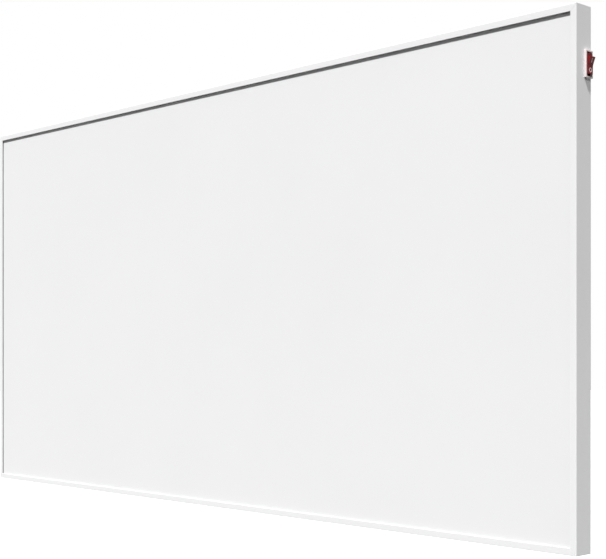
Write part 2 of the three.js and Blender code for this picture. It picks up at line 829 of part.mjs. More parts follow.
const lidBack = boxRim + seat + lidThickness;
add(heater, 'cable_box', cableBox(), 'blackPlastic').position.set(boxX, 0, boxZ);
add(heater, 'cable_box_lid', cableBoxLid(), 'blackPlastic').position.set(boxX, 0, boxZ);
for (const { name, x, z } of postPlaces) {
  const screw = add(heater, `lid_screw_${name}`, panHeadScrew(lidScrew), 'zinc');
  screw.position.set(boxX + x, lidBack + seat, boxZ + z);
}

// A row of poles: each is a tower with a wire hole right through and a clamping screw on top.
function terminalBlock() {
  const width = poleCount * polePitch;
  const half = blockHeight / 2;
  const body = block(-width / 2, width / 2, -blockDepth / 2, blockDepth / 2, -half, half);
  const groove = blockDepth / 2 - blockShoulder;
  const shoulders = [-1, 1].map((side) => block(
    -width / 2 - fit, width / 2 + fit,
    groove, blockDepth / 2 + fit,
    side * (half - blockShoulder), side * (half + fit),
  ));
  const cuts = [];
  for (let pole = 0; pole < poleCount; pole += 1) {
    const x = poleX(pole) - blockX;
    cuts.push(rodZ(wireRadius + fit, -half - fit, half + fit).translate(x, 0, 0));
    cuts.push(rodY(poleScrewRadius, 0, blockDepth).translate(x, 0, 0));
    if (pole > 0) {
      const slot = x - polePitch / 2;
      cuts.push(block(slot - fit, slot + fit, groove, blockDepth, -half - fit, half + fit));
    }
  }
  return cut(body, ...shoulders, ...cuts);
}

add(heater, 'terminal_block', terminalBlock(), 'greyPlastic').position.set(blockX, blockY, blockZ);

// ---------------------------------------------------------------- cable gland

const glandGroup = new THREE.Group();
glandGroup.position.set(glandX, glandY, boxUnderside);
heater.add(glandGroup);

function turnedAboutZ(profile, sides = roundSides) {
  return revolve(profile, sides).rotateX(Math.PI / 2);
}

const glandTubeEnd = -seat - glandFlange - glandTube;
const glandNutEnd = glandTubeEnd - glandNutDome;
const stubTop = boxWall + seat + locknutThickness + glandStubProud;
const sealOuter = glandBore + sealWall;

function glandBody() {
  const tube = turnedAboutZ([
    [glandBore, stubTop], [glandBore, glandTubeEnd + sealLength],
    [sealOuter + fit, glandTubeEnd + sealLength], [sealOuter + fit, glandTubeEnd],
    [glandThread, glandTubeEnd], [glandThread, stubTop], [glandBore, stubTop],
  ]);
  const flange = cut(
    hexagonZ(glandHexFlats, -seat - glandFlange, -seat),
    rodZ(glandBore + fit, -glandFlange - glandTube, boxWall),
  );
  return join(tube, flange);
}

function glandNut() {
  const top = -seat - glandFlange - fit;
  const wall = glandThread + fit;
  const hexRadius = glandHexFlats / Math.sqrt(3);
  const domed = turnedAboutZ([
    [glandBore + fit, glandNutEnd], [wall + fit, glandNutEnd], [hexRadius, glandNutEnd + glandNutDome],
    [hexRadius, top], [wall, top], [wall, glandTubeEnd - glandNutWall],
    [glandBore + fit, glandTubeEnd - glandNutWall], [glandBore + fit, glandNutEnd],
  ]);
  return common(domed, hexagonZ(glandHexFlats, glandNutEnd - fit, top + fit));
}

function glandLocknut() {
  const low = boxWall + seat;
  return cut(
    hexagonZ(glandHexFlats, low, low + locknutThickness),
    rodZ(glandThread + fit, 0, low + 2 * locknutThickness, roundSides),
  );
}

add(glandGroup, 'gland_body', glandBody(), 'blackPlastic');
add(glandGroup, 'gland_nut', glandNut(), 'blackPlastic');
add(glandGroup, 'gland_locknut', glandLocknut(), 'blackPlastic');
const seal = ring(glandBore, sealOuter, glandTubeEnd - fit, glandTubeEnd + sealLength - fit);
add(glandGroup, 'gland_seal', seal.rotateX(Math.PI / 2), 'blackRubber');

// ---------------------------------------------------------------- grommet and wires

function grommet() {
  const front = depth(backPlateFront) - fit;
  const rear = depth(backPlateRear) + fit;
  return revolve([
    [grommetBore, front - grommetLip], [grommetFlange, front - grommetLip], [grommetFlange, front],
    [grommetNeck, front], [grommetNeck, rear], [grommetFlange, rear],
    [grommetFlange, rear + grommetLip], [grommetBore, rear + grommetLip],
    [grommetBore, front - grommetLip],
  ]);
}

add(heater, 'wire_grommet', grommet(), 'blackRubber').position.set(grommetX, 0, grommetZ);

// A route of straight legs between corners, each corner turned on a short bend.
class BentRoute extends THREE.Curve {
  constructor(...legs) {
    super();
    this.points = [legs[0]];
    for (let i = 1; i < legs.length - 1; i += 1) {
      const towards = (end) => end.clone().sub(legs[i]).setLength(wireBend).add(legs[i]);
      const bend = new THREE.QuadraticBezierCurve3(towards(legs[i - 1]), legs[i], towards(legs[i + 1]));
      this.points.push(...bend.getPoints(arcSteps));
    }
    this.points.push(legs.at(-1));
  }

  getPointAt(u) {
    return this.points[Math.round(u * (this.points.length - 1))].clone();
  }

  getTangentAt(u) {
    const last = this.points.length - 1;
    const i = Math.round(u * last);
    const arriving = this.points[i].clone().sub(this.points[Math.max(i - 1, 0)]).normalize();
    const leaving = this.points[Math.min(i + 1, last)].clone().sub(this.points[i]).normalize();
    return arriving.add(leaving).normalize();
  }
}

function at(x, y, z) {
  return new THREE.Vector3(x, y, z);
}

function wire(...legs) {
  const route = new BentRoute(...legs);
  const section = new THREE.Shape().absarc(0, 0, wireRadius, 0, 2 * Math.PI);
  return new THREE.ExtrudeGeometry(section, {
    steps: route.points.length - 1,
    extrudePath: route,
    curveSegments: arcSteps,
  });
}

// The poles of the terminal block, left to right, and the lanes above it, from the lowest.
const poles = { liveIn: 0, lampNeutral: 1, neutral: 2, earth: 3 };
const lanes = { earth: 0, neutral: 1, lampNeutral: 2, liveIn: 3 };

// From a pole of the terminal block up to its lane, across and down to the grommet, and through.
function poleToGrommet(pole, lane, offset) {
  return [
    at(poleX(pole), blockY, blockTop - wireInBlock),
    at(poleX(pole), blockY, laneZ(lane)),
    at(grommetX + offset, blockY, laneZ(lane)),
    at(grommetX + offset, blockY, grommetZ),
    at(grommetX + offset, wireY, grommetZ),
  ];
}

const terminals = [
  { name: 'lamp', side: 1 },
  { name: 'supply', side: 0 },
  { name: 'load', side: -1 },
];
const bladeZ = (side) => switchZ + side * terminalPitch;
const bladeEnd = sideFace - housingReach - bladeReach;
const receptacleEnd = bladeEnd - fit;

// The crimped receptacle that grips a switch blade, open on the blade's side.
function receptacle(side) {
  const z = bladeZ(side);
  const halfWidth = bladeWidth / 2 + fit;
  const halfHeight = bladeThickness / 2 + fit;
  const outerHalfWidth = halfWidth + receptacleWall;
  const outerHalfHeight = halfHeight + receptacleWall;
  const mouth = receptacleEnd + receptacleLength;
  return cut(
    block(
      receptacleEnd - receptacleWall, mouth,
      switchY - outerHalfWidth, switchY + outerHalfWidth,
      z - outerHalfHeight, z + outerHalfHeight,
    ),
    block(
      receptacleEnd, mouth + fit,
      switchY - halfWidth, switchY + halfWidth,
      z - halfHeight, z + halfHeight,
    ),
  );
}

function toBlade(side) {
  return at(receptacleEnd - receptacleWall / 2, wireY, bladeZ(side));
}

const busbarEnd = depth(busbarBack) + fit;

const liveIn = wire(
  ...poleToGrommet(poles.liveIn, lanes.liveIn, wireSpacing),
  at(grommetX + wireSpacing, wireY, bladeZ(0)),
  toBlade(0),
);
add(heater, 'wire_live_in', join(liveIn, receptacle(0)), 'brownWire');

const lampNeutral = wire(
  ...poleToGrommet(poles.lampNeutral, lanes.lampNeutral, 0),
  at(grommetX, wireY, bladeZ(1)),
  toBlade(1),
);
add(heater, 'wire_lamp_neutral', join(lampNeutral, receptacle(1)), 'blueWire');

const neutral = wire(
  ...poleToGrommet(poles.neutral, lanes.neutral, -wireSpacing),
  at(-busbarCentre, wireY, grommetZ),
  at(-busbarCentre, busbarEnd, grommetZ),
);
add(heater, 'wire_neutral', neutral, 'blueWire');

const switched = wire(
  toBlade(-1),
  at(switchedLaneX, wireY, bladeZ(-1)),
  at(switchedLaneX, wireY, upperCutoutZ + feedDrop + 2 * wireBend),
  at(switchedLaneX, cutoutY, upperCutoutZ + feedDrop + 2 * wireBend),
  at(switchedLaneX, cutoutY, upperCutoutZ + feedDrop),
);
add(heater, 'wire_switched_live', join(switched, receptacle(-1)), 'brownWire');

const cutoutLink = wire(
  at(switchedLaneX, cutoutY, upperCutoutZ - feedDrop),
  at(switchedLaneX, cutoutY, lowerCutoutZ + feedDrop),
);
add(heater, 'wire_cutout_link', cutoutLink, 'brownWire');

const boardFeed = wire(
  at(switchedLaneX, cutoutY, lowerCutoutZ - feedDrop),
  at(switchedLaneX, cutoutY, boardFeedZ),
  at(switchedLaneX, wireY, boardFeedZ),
  at(busbarCentre, wireY, boardFeedZ),
  at(busbarCentre, busbarEnd, boardFeedZ),
);
add(heater, 'wire_board_feed', boardFeed, 'brownWire');

const lugFront = depth(backPlateRear) + seat;
const earthLug = cut(
  join(
    rodY(lugRadius, lugFront, lugFront + lugThickness),
    block(-wireRadius, wireRadius, lugFront, lugFront + lugThickness, 0, 2 * lugRadius),
  ),
  rodY(earthScrew.shank + fit, lugFront - fit, lugFront + 2 * lugThickness),
).translate(earthX, 0, earthZ);
const earthTop = earthZ + 2 * lugRadius - wireRadius;
const earth = wire(
  at(poleX(poles.earth), blockY, blockTop - wireInBlock),
  at(poleX(poles.earth), blockY, laneZ(lanes.earth)),
  at(earthX, blockY, laneZ(lanes.earth)),
  at(earthX, blockY, earthTop),
  at(earthX, lugFront + lugThickness / 2, earthTop),
);
add(heater, 'wire_earth', join(earth, earthLug), 'greenWire');
const earthScrewMesh = add(heater, 'earth_screw', panHeadScrew(earthScrew), 'brass');
earthScrewMesh.position.set(earthX, lugFront + lugThickness + seat, earthZ);

// A flat thermal cut-out with a sealed plug at each end, where its leads come out.
function thermalCutout() {
  const half = cutoutLength / 2;
  const shape = roundedRectangle(cutoutWidth, cutoutThickness, cutoutEdgeRadius);
  const body = extrude(shape, cutoutLength).translate(0, 0, -half);
  return join(body, rodZ(cutoutPlugRadius, -half - cutoutPlug, half + cutoutPlug));
}

const cutouts = { upper: upperCutoutZ, lower: lowerCutoutZ };
for (const [name, z] of Object.entries(cutouts)) {
  const cutout = add(heater, `thermal_cutout_${name}`, thermalCutout(), 'blackPlastic');
  cutout.position.set(switchedLaneX, cutoutY, z);
}

// ---------------------------------------------------------------- rocker switch

const switchGroup = new THREE.Group();
switchGroup.position.set(sideFace, switchY, switchZ);
heater.add(switchGroup);

const floorTop = -housingReach + housingFloor;
const stopRibEnd = stopRibSpan + stopRibWidth / 2;
const stopRibTop = -leverPivot - leverThickness / 2 - fit - Math.tan(degrees(leverTilt)) * stopRibEnd;

// Bezel, well, floor and snap ears of the white housing. The ears catch behind the frame's wall.
function switchHousing() {
  const bezel = alongX(roundedRectangle(bezelWidth, bezelHeight, bezelCornerRadius), seat, bezelProud);
  const halfHeight = housingHeight / 2;
  const halfWidth = housingWidth / 2;
  const body = block(-housingReach, bezelProud / 2, -halfWidth, halfWidth, -halfHeight, halfHeight);
  const well = block(
    floorTop, bezelProud + fit,
    -wellWidth / 2, wellWidth / 2, -wellHeight / 2, wellHeight / 2,
  );
  const pivotHole = rodY(trunnionRadius + trunnionClearance, -halfWidth - fit, halfWidth + fit, roundSides)
    .translate(-pivotReach, 0, 0);
  const bladeSlots = terminals.map(({ side }) => block(
    -housingReach - fit, floorTop + fit,
    -bladeWidth / 2 - fit, bladeWidth / 2 + fit,
    side * terminalPitch - bladeThickness / 2 - fit, side * terminalPitch + bladeThickness / 2 + fit,
  ));
  const catchFace = -outerWall - fit;
  const ears = [-1, 1].map((side) => alongY(outline([
    [catchFace, side * (halfHeight - fit)],
    [catchFace, side * (halfHeight + snapEarHeight)],
    [catchFace - snapEarLength, side * halfHeight],
    [catchFace - snapEarLength, side * (halfHeight - fit)],
  ]), -snapEarWidth / 2, snapEarWidth / 2));
  const stopRib = block(
    floorTop - fit, stopRibTop,
    -wellWidth / 2 - fit, wellWidth / 2 + fit,
    stopRibEnd - stopRibWidth, stopRibEnd,
  );
  return join(cut(join(bezel, body), well, pivotHole, ...bladeSlots), ...ears, stopRib);
}

add(switchGroup, 'switch_housing', switchHousing(), 'whiteNylon');

// The rocker's side view about its pivot: two faces that rise from a dip to round ends.
function rockerOutline(radius, valley, rim) {
  const slope = Math.tan(degrees(rockerFaceSlope));
  const a = 1 + slope * slope;
  const b = 2 * slope * valley;
  const c = valley * valley - radius * radius;
  const tipZ = (-b + Math.sqrt(b * b - 4 * a * c)) / (2 * a);
  const tipAngle = Math.atan2(tipZ, valley + slope * tipZ);
  const rimAngle = Math.acos(rim / radius);
  const shape = new THREE.Shape();
  shape.absarc(0, 0, radius, -rimAngle, -tipAngle, false);
  shape.lineTo(valley, 0);
  shape.absarc(0, 0, radius, tipAngle, rimAngle, false);
  return shape;
}

const rockerHalfWidth = wellWidth / 2 - fit;
const rockerInnerHalfWidth = rockerHalfWidth - rockerWall;

function rocker() {
  const shell = cut(
    alongY(rockerOutline(rockerRadius, rockerValley, rockerRim), -rockerHalfWidth, rockerHalfWidth),
    alongY(
      rockerOutline(rockerRadius - rockerWall, rockerValley - rockerWall, rockerRim - fit),
      -rockerInnerHalfWidth, rockerInnerHalfWidth,
    ),
  );
  const trunnionEnd = wellWidth / 2 + (housingWidth - wellWidth) / 4;
  const cheeks = [-1, 1].flatMap((side) => [
    rodY(trunnionBoss, side * rockerInnerHalfWidth, side * rockerHalfWidth, roundSides),
    rodY(trunnionRadius, side * rockerInnerHalfWidth, side * trunnionEnd),
  ]);
  const stem = cut(
    rodX(stemRadius, -stemReach, rockerValley - rockerWall / 2),
    rodX(stemBore, -stemReach - fit, stemBoreTop),
  );
  return join(shell, ...cheeks, stem);
}

const rockerGroup = new THREE.Group();
rockerGroup.position.set(-pivotReach, 0, 0);
rockerGroup.rotation.y = degrees(rockerTilt); // switched off: the upper half stands out
switchGroup.add(rockerGroup);
add(rockerGroup, 'rocker', rocker(), 'redRocker');

const plungerTop = plungerLength - plungerReach;

// The sprung plunger in the rocker's stem, with a round nose on the contact lever.
function plunger() {
  const profile = [];
  for (let i = 0; i <= arcSteps; i += 1) {
    const angle = (i / arcSteps) * Math.PI / 2;
    profile.push([
      plungerRadius * Math.sin(angle),
      -plungerReach + plungerRadius * (1 - Math.cos(angle)),
    ]);
  }
  profile.push([plungerRadius, plungerTop], [0, plungerTop]);
  return revolve(profile).rotateZ(-Math.PI / 2);
}

add(rockerGroup, 'rocker_plunger', plunger(), 'blackPlastic');

class Helix extends THREE.Curve {
  constructor(radius, low, high, turns) {
    super();
    Object.assign(this, { radius, low, high, turns });
  }

  getPoint(t) {
    const angle = 2 * Math.PI * this.turns * t;
    const along = this.low + (this.high - this.low) * t;
    return new THREE.Vector3(along, this.radius * Math.cos(angle), this.radius * Math.sin(angle));
  }
}

function spring() {
  const radius = stemBore - fit - springWire;
  const low = plungerTop + springWire + fit;
  const coil = new Helix(radius, low, stemBoreTop - springWire - fit, springTurns);
  const section = new THREE.Shape().absarc(0, 0, springWire, 0, 2 * Math.PI);
  return new THREE.ExtrudeGeometry(section, {
    steps: springTurns * springStepsPerTurn,
    extrudePath: coil,
    curveSegments: springSides / 2,
  });
}

add(rockerGroup, 'rocker_spring', spring(), 'spring');

// The see-saw contact: a strip on two pins, with a silver contact under its lower end.
function contactLever() {
  const half = leverThickness / 2;
  const strip = block(-half, half, -leverHalfWidth, leverHalfWidth, -leverReach, leverTail);
  const pins = rodY(leverPin, -leverPinLength, leverPinLength);
  const contact = rodX(contactRadius, -half - contactHeight, 0).translate(0, 0, -contactSpan);
  return join(strip, pins, contact);
}

const leverGroup = new THREE.Group();
leverGroup.position.set(-leverPivot, 0, 0);
leverGroup.rotation.y = -degrees(leverTilt); // switched off: the contact is lifted
switchGroup.add(leverGroup);
add(leverGroup, 'contact_lever', contactLever(), 'copper');

// Each terminal is a base on the housing's floor with a blade through it.
const baseBottom = floorTop + seat;
const baseTop = baseBottom + bladeThickness;

function terminalBlade() {
  const base = block(
    baseBottom, baseTop,
    -bladeWidth / 2, bladeWidth / 2, -terminalBase / 2, terminalBase / 2,
  );
  const blade = block(
    -housingReach - bladeReach, baseTop - bladeThickness / 2,
    -bladeWidth / 2, bladeWidth / 2, -bladeThickness / 2, bladeThickness / 2,
  );
  return join(base, blade);
}

// The lever's pins lie in the notches of two upright cheeks.
function supplyTerminal() {
  const inner = leverHalfWidth + fit;
  const cheeks = [-1, 1].map((side) => block(
    baseBottom, -leverPivot + leverPin + fit,
    side * inner, side * (inner + cheekThickness),
    -terminalBase / 2, terminalBase / 2,
  ));
  const notchWidth = leverPin + fit;
  const notch = block(
    -leverPivot, -leverPivot + 3 * leverPin,
    -bladeWidth, bladeWidth, -notchWidth, notchWidth,
  );
  const notchRound = rodY(notchWidth, -bladeWidth, bladeWidth).translate(-leverPivot, 0, 0);
  return cut(join(terminalBlade(), ...cheeks), notch, notchRound);
}

// The fixed contact, met by the lever's when the rocker is pressed at the top.
function loadTerminal() {
  const angle = degrees(leverTilt);
  const leverFace = leverThickness / 2 + contactHeight;
  const top = -leverPivot - contactSpan * Math.sin(angle) - leverFace * Math.cos(angle) - fit;
  const slack = contactRadius * Math.sin(angle);
  const contact = rodX(contactRadius, baseBottom, top - slack);
  const shift = terminalPitch - contactSpan * Math.cos(angle);
  return join(terminalBlade(), contact.translate(0, 0, shift));
}

const terminalMakers = { lamp: terminalBlade, supply: supplyTerminal, load: loadTerminal };
for (const { name, side } of terminals) {
  const terminal = add(switchGroup, `switch_terminal_${name}`, terminalMakers[name](), 'brass');
  terminal.position.z = side * terminalPitch;
}

// The neon lamp stands on its terminal, under the upper half of the rocker.
function neonLamp() {
  const low = baseTop + fit;
  const high = low + lampLength;
  return revolve([
    [0, low], [lampTipRadius, low], [lampRadius, low + lampRound],
    [lampRadius, high - lampRadius], [lampTipRadius, high - lampRadius + lampTipRadius], [0, high],
  ]).rotateZ(-Math.PI / 2).translate(0, 0, terminalPitch + lampOffset);
}

add(switchGroup, 'neon_lamp', neonLamp(), 'glass');

export default heater;
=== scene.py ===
"""Dresses an infrared panel heater: finishes, softened edges, the rocker, screws and brackets."""

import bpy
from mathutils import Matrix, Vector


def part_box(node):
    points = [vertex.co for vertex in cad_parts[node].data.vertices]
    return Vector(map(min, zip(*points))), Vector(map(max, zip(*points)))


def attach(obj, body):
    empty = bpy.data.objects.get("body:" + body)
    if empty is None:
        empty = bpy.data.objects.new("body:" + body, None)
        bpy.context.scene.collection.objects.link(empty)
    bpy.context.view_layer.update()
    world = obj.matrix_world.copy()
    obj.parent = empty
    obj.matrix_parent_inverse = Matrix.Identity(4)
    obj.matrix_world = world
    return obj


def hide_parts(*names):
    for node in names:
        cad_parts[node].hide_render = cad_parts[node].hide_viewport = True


bl_info = {
    "name": "Infrared Panel Heater",
    "version": (1, 0, 0),
    "blender": (4, 5, 0),
    "location": "3D Viewport > Sidebar > Heater",
    "description": "Models and finishes the visible pieces of a wall-hung infrared panel heater",
    "category": "Object",
}

import math

import bmesh
import bpy
from bpy.props import FloatProperty, FloatVectorProperty, IntProperty, PointerProperty
from mathutils import Matrix, Vector

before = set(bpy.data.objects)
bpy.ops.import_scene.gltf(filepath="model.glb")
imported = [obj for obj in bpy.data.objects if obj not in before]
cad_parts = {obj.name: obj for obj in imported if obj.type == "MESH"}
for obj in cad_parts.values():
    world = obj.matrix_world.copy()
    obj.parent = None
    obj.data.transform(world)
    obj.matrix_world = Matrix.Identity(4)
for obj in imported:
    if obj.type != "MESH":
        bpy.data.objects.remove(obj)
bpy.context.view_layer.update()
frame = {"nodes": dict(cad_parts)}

MM = 0.001
WELD = 0.002 * MM  # points this close together become one
HAIR = 0.01 * MM  # points this close are level with each other
SKIN = 0.05 * MM  # points this deep still belong to a face
NEAR = 0.1 * MM  # points this close to a plane are picked with it
CORNERS = ("top_left", "top_right", "bottom_left", "bottom_right")
SIDES = ("top", "right", "bottom", "left")
CASING, BUTTON = "casing", "rocker_button"


# ---------- sizes and colours


def length(name, description, default):
    """A length in metres that a user can change, given here in millimetres."""
    return FloatProperty(
        name=name, description=description, default=default * MM, min=0.0, precision=5,
        subtype="DISTANCE", unit="LENGTH",
    )


def angle(name, description, default):
    """An angle that a user can change, given here in degrees."""
    return FloatProperty(
        name=name, description=description, default=math.radians(default), subtype="ANGLE",
    )


def colour(name, description, default):
    """A colour that a user can change."""
    return FloatVectorProperty(
        name=name, description=description, default=default, size=3, min=0.0, max=1.0,
        subtype="COLOR",
    )


def plain_number(name, description, default):
    """A plain number that a user can change."""
    return FloatProperty(name=name, description=description, default=default)


def whole_number(name, description, default, least):
    """A whole number that a user can change."""
    return IntProperty(name=name, description=description, default=default, min=least)


def vector(name, description, default, subtype="DIRECTION", unit="NONE"):
    """A direction that a user can change, or a place where the subtype says so."""
    return FloatVectorProperty(
        name=name, description=description, default=default, size=3, subtype=subtype, unit=unit,
    )


class HeaterSizes(bpy.types.PropertyGroup):
    """Sizes of the edges, screws, brackets and rocker that are modelled here."""

    lip_width: length("Lip width", "Width of the frame's front lip", 8)
    lip_depth: length("Lip depth", "Front of the frame to just behind its lip", 1.6)
    lip_edge: length("Lip edge", "Round on the inner edge of the frame's lip", 0.35)
    bezel_edge: length("Bezel edge", "Round on the rim of the switch's bezel", 0.25)
    well_edge: length("Well edge", "Round on the mouth of the switch's well", 0.15)
    mouth_width: length("Mouth width", "Width that holds the edges of the well's mouth", 10.4)
    mouth_height: length("Mouth height", "Height that holds the edges of the well's mouth", 27.2)
    moulded_edge: length("Moulded edge", "Round on the edges of the cable box and its lid", 0.5)
    gland_edge: length("Gland edge", "Round on the edges of the cable gland", 0.25)

    rocker_radius: length("Rocker radius", "Pivot to the round ends of the rocker", 13.05)
    rocker_width: length("Rocker width", "Width of the rocker", 9.3)
    rocker_length: length("Rocker length", "Length between the rocker's square ends", 18.9)
    rocker_shoulder: length("Rocker shoulder", "Pivot to the step under the square ends", 4.2)
    rocker_dip: length("Rocker dip", "Pivot to the dip in the middle of the rocker's face", 7.35)
    rocker_slope: angle("Rocker slope", "Rise of each half of the rocker's face", 9.5)
    rocker_tilt: angle("Rocker tilt", "Turn of the rocker to the position in which it is off", 10.5)
    rocker_rim: length("Rocker rim", "Pivot to the open edge of the rocker's shell", 1)
    rocker_wall: length("Rocker wall", "Wall of the rocker's shell", 1.2)
    rocker_edge: length("Rocker edge", "Round on the rocker's edges", 0.22)
    rocker_dip_round: length("Dip round", "Round in the dip of the rocker's face", 1.6)
    hollow_step: length("Hollow step", "Height of the step in the rocker's hollow", 0.4)
    pivot_reach: length("Pivot reach", "Side of the frame to the rocker's pivot, inwards", 3)
    trunnion_radius: length("Trunnion radius", "Radius of the pins that the rocker turns on", 1.4)
    trunnion_span: length("Trunnion span", "Length over both pins", 10.65)
    boss_radius: length("Boss radius", "Radius of the bosses round the pins", 2.9)
    stem_radius: length("Stem radius", "Radius of the stem that holds the plunger", 2.4)
    stem_reach: length("Stem reach", "Pivot to the end of the stem", 5.5)
    bore_radius: length("Bore radius", "Radius of the bore in the stem", 1.5)
    bore_depth: length("Bore depth", "Pivot to the floor of the bore", 4)

    mark_height: length("Mark height", "Height of the marks on the rocker", 5.2)
    mark_stroke: length("Mark stroke", "Stroke of the marks on the rocker", 1.15)
    mark_place: length("Mark place", "Dip to the middle of a mark, along the face", 5.3)
    mark_proud: length("Mark proud", "Height of the marks over the face", 0.04)
    mark_root: length("Mark root", "Depth of the marks under the face", 0.3)

    sheet: length("Bracket sheet", "Thickness of a wall bracket", 1.5)
    web_rise: length("Web rise", "Lower end of a wall bracket to its web", 18)
    bend: length("Bracket bend", "Inner radius of a bend in a wall bracket", 1.5)
    bracket_corner: length("Bracket corner", "Round on the corners of a wall bracket", 4)
    sheet_edge: length("Sheet edge", "Round on the edges of cut sheet metal", 0.15)
    keyhole_rise: length("Keyhole rise", "Web to the middle of the keyhole's wide end", 12)
    keyhole_radius: length("Keyhole radius", "Radius of the keyhole's wide end", 5.25)
    keyhole_travel: length("Keyhole travel", "Middle of the wide end to the middle of the slot", 12)
    keyhole_slot: length("Keyhole slot", "Width of the keyhole's slot", 5.4)
    bracket_hole: length("Bracket hole", "Radius of a hole for a bracket screw", 2.25)

    foot_screw_rise: length("Foot screw rise", "Height of a bracket screw's head", 2.2)
    foot_screw_shank: length("Foot screw shank", "Radius of a bracket screw's shank", 1.95)
    lid_screw_rise: length("Lid screw rise", "Height of a lid screw's head", 1.5)
    lid_screw_shank: length("Lid screw shank", "Radius of a lid screw's shank", 1.3)

    rim_screws_long: whole_number(
        "Long side screws", "Screws along each long edge of the back plate", 7, 2)
    rim_screws_short: whole_number(
        "Short side screws", "Screws along each short edge, between the corners", 3, 0)
    rim_screw_head: length("Rim screw head", "Radius of a rim screw's head", 2.9)
    rim_screw_rise: length("Rim screw rise", "Height of a rim screw's head", 1.7)
    rim_screw_shank: length("Rim screw shank", "Radius of a rim screw's shank", 1.2)
    rim_screw_length: length("Rim screw length", "Length of a rim screw's shank", 1.5)
    rim_screw_seat: length("Rim screw seat", "Back plate to the seat of a rim screw", 0.02)
    rim_screw_inset: length("Rim screw inset", "Side of the frame to a rim screw", 7)
    rim_screw_end: length("Rim screw end", "End of the frame to the first rim screw", 40)


class HeaterColours(bpy.types.PropertyGroup):
    """Colours of the heater's finishes, as linear values."""

    frame: colour("Frame", "Powder coat of the frame", (0.86, 0.86, 0.865))
    # painted shade: the lip's inner faces take this share of the frame's colour, standing in for
    # the shade in the recess
    reveal: plain_number("Reveal", "Share of the frame's colour on the lip's inner faces", 0.36)
    plate: colour("Plate", "Coating of the radiating plate", (0.852, 0.852, 0.856))
    # partly painted shade: the silicone is set this dark grey also to deepen the shade line in the
    # recess round the plate
    gasket: colour("Gasket", "Silicone gasket round the plate", (0.15, 0.15, 0.15))
    # partly painted reflection: the pink tint stands in for red light bounced from the rocker onto
    # white nylon
    bezel: colour("Bezel", "Nylon of the switch's bezel", (0.76, 0.70, 0.695))
    # partly painted shade: this near-black also stands in for the shadow inside the switch's well
    housing: colour("Housing", "Nylon of the switch's body and well", (0.02, 0.012, 0.012))
    rocker: colour("Rocker", "Red plastic of the rocker", (0.20, 0.010, 0.014))
    mark: colour("Mark", "Marks on the rocker", (0.85, 0.62, 0.62))
    zinc: colour("Zinc", "Zinc on sheet steel", (0.40, 0.42, 0.44))
    black: colour("Black", "Black moulded plastic", (0.018, 0.018, 0.019))


class HeaterStage(bpy.types.PropertyGroup):
    """Camera, lamps and floor."""

    camera_place: vector(
        "Camera place", "Where the camera stands", (1.3945, -1.2206, -0.0773),
        "TRANSLATION", "LENGTH",
    )
    camera_aim: vector(
        "Camera aim", "Direction that the camera looks in, level", (-0.7229, 0.6910, 0.0))
    camera_lens: plain_number("Lens", "Focal length in millimetres", 75.86)
    camera_sensor: plain_number("Sensor", "Width of the camera's sensor in millimetres", 36)
    camera_shift: plain_number("Shift", "Upward shift of the picture, in widths", 0.118)
    sun_direction: vector(
        "Sun direction", "Direction towards the main lamp", (0.16, -0.50, 0.868))
    sun_strength: plain_number("Sun", "Strength of the main lamp", 5.4)
    sun_angle: angle("Sun angle", "Apparent size of the main lamp", 4)
    fill_direction: vector(
        "Fill direction", "Direction towards the lamp on the right", (0.75, -0.05, 0.66))
    fill_strength: plain_number("Fill", "Strength of the lamp on the right", 0.68)
    fill_angle: angle("Fill angle", "Apparent size of the lamp on the right", 25)
    lamp_distance: length("Lamp distance", "Heater's centre to where a lamp is drawn", 3000)
    sky_strength: plain_number("Sky", "Even light from above and round about", 0.26)
    ground_strength: plain_number("Ground light", "Even light from below", 0.05)
    horizon: plain_number("Horizon", "Slope, up and down, at which the even light changes", 0.3)
    floor_drop: length("Floor drop", "Heater's centre down to the floor", 1200)
    floor_size: length("Floor size", "Length of the floor's sides", 60000)
    floor_shade: colour("Floor", "Floor as the camera sees it", (0.92, 0.92, 0.92))
    floor_bounce: colour("Floor bounce", "Floor as it lights the heater", (0.03, 0.03, 0.03))


# ---------- at the bench: bpy.ops in plain words


def select_only(*pieces):
    """Selects these pieces and nothing else, and makes the first one active."""
    bpy.ops.object.select_all(action="DESELECT")
    for piece in pieces:
        piece.select_set(True)
    bpy.context.view_layer.objects.active = pieces[0]


def open_mesh(piece, kind="FACE"):
    """Enters edit mode on one piece, with nothing selected in it."""
    select_only(piece)
    bpy.ops.object.mode_set(mode="EDIT")
    bpy.ops.mesh.select_mode(type=kind)
    bpy.ops.mesh.select_all(action="DESELECT")


def close_mesh():
    """Leaves edit mode."""
    bpy.ops.object.mode_set(mode="OBJECT")


def pick(kind, test):
    """Selects the faces, edges or verts of the open mesh that pass a test, and no others."""
    mesh = bpy.context.edit_object.data
    work = bmesh.from_edit_mesh(mesh)
    parts = getattr(work, kind)
    for part in parts:
        part.select_set(False)
    for part in [part for part in parts if test(part)]:
        part.select_set(True)
    work.select_flush_mode()
    bmesh.update_edit_mesh(mesh)


def every_end(edge, test):
    """Whether a test holds at both ends of an edge."""
    return all(test(vert.co) for vert in edge.verts)


def pick_edges(test):
    """Selects the edges of the open mesh at both ends of which a test holds."""
    pick("edges", lambda edge: every_end(edge, test))


def pull(*move):
    """Extrudes what is selected in the open mesh."""
    bpy.ops.mesh.extrude_region_move(TRANSFORM_OT_translate={"value": move})


def scale_picked(size, centre=(0, 0, 0)):
    """Scales what is selected in the open mesh about a point."""
    bpy.ops.transform.resize(value=size, center_override=centre)


def round_picked(size, segments, affect="EDGES"):
    """Bevels what is selected in the open mesh."""
    bpy.ops.mesh.bevel(offset=size, segments=segments, affect=affect, profile=0.5)


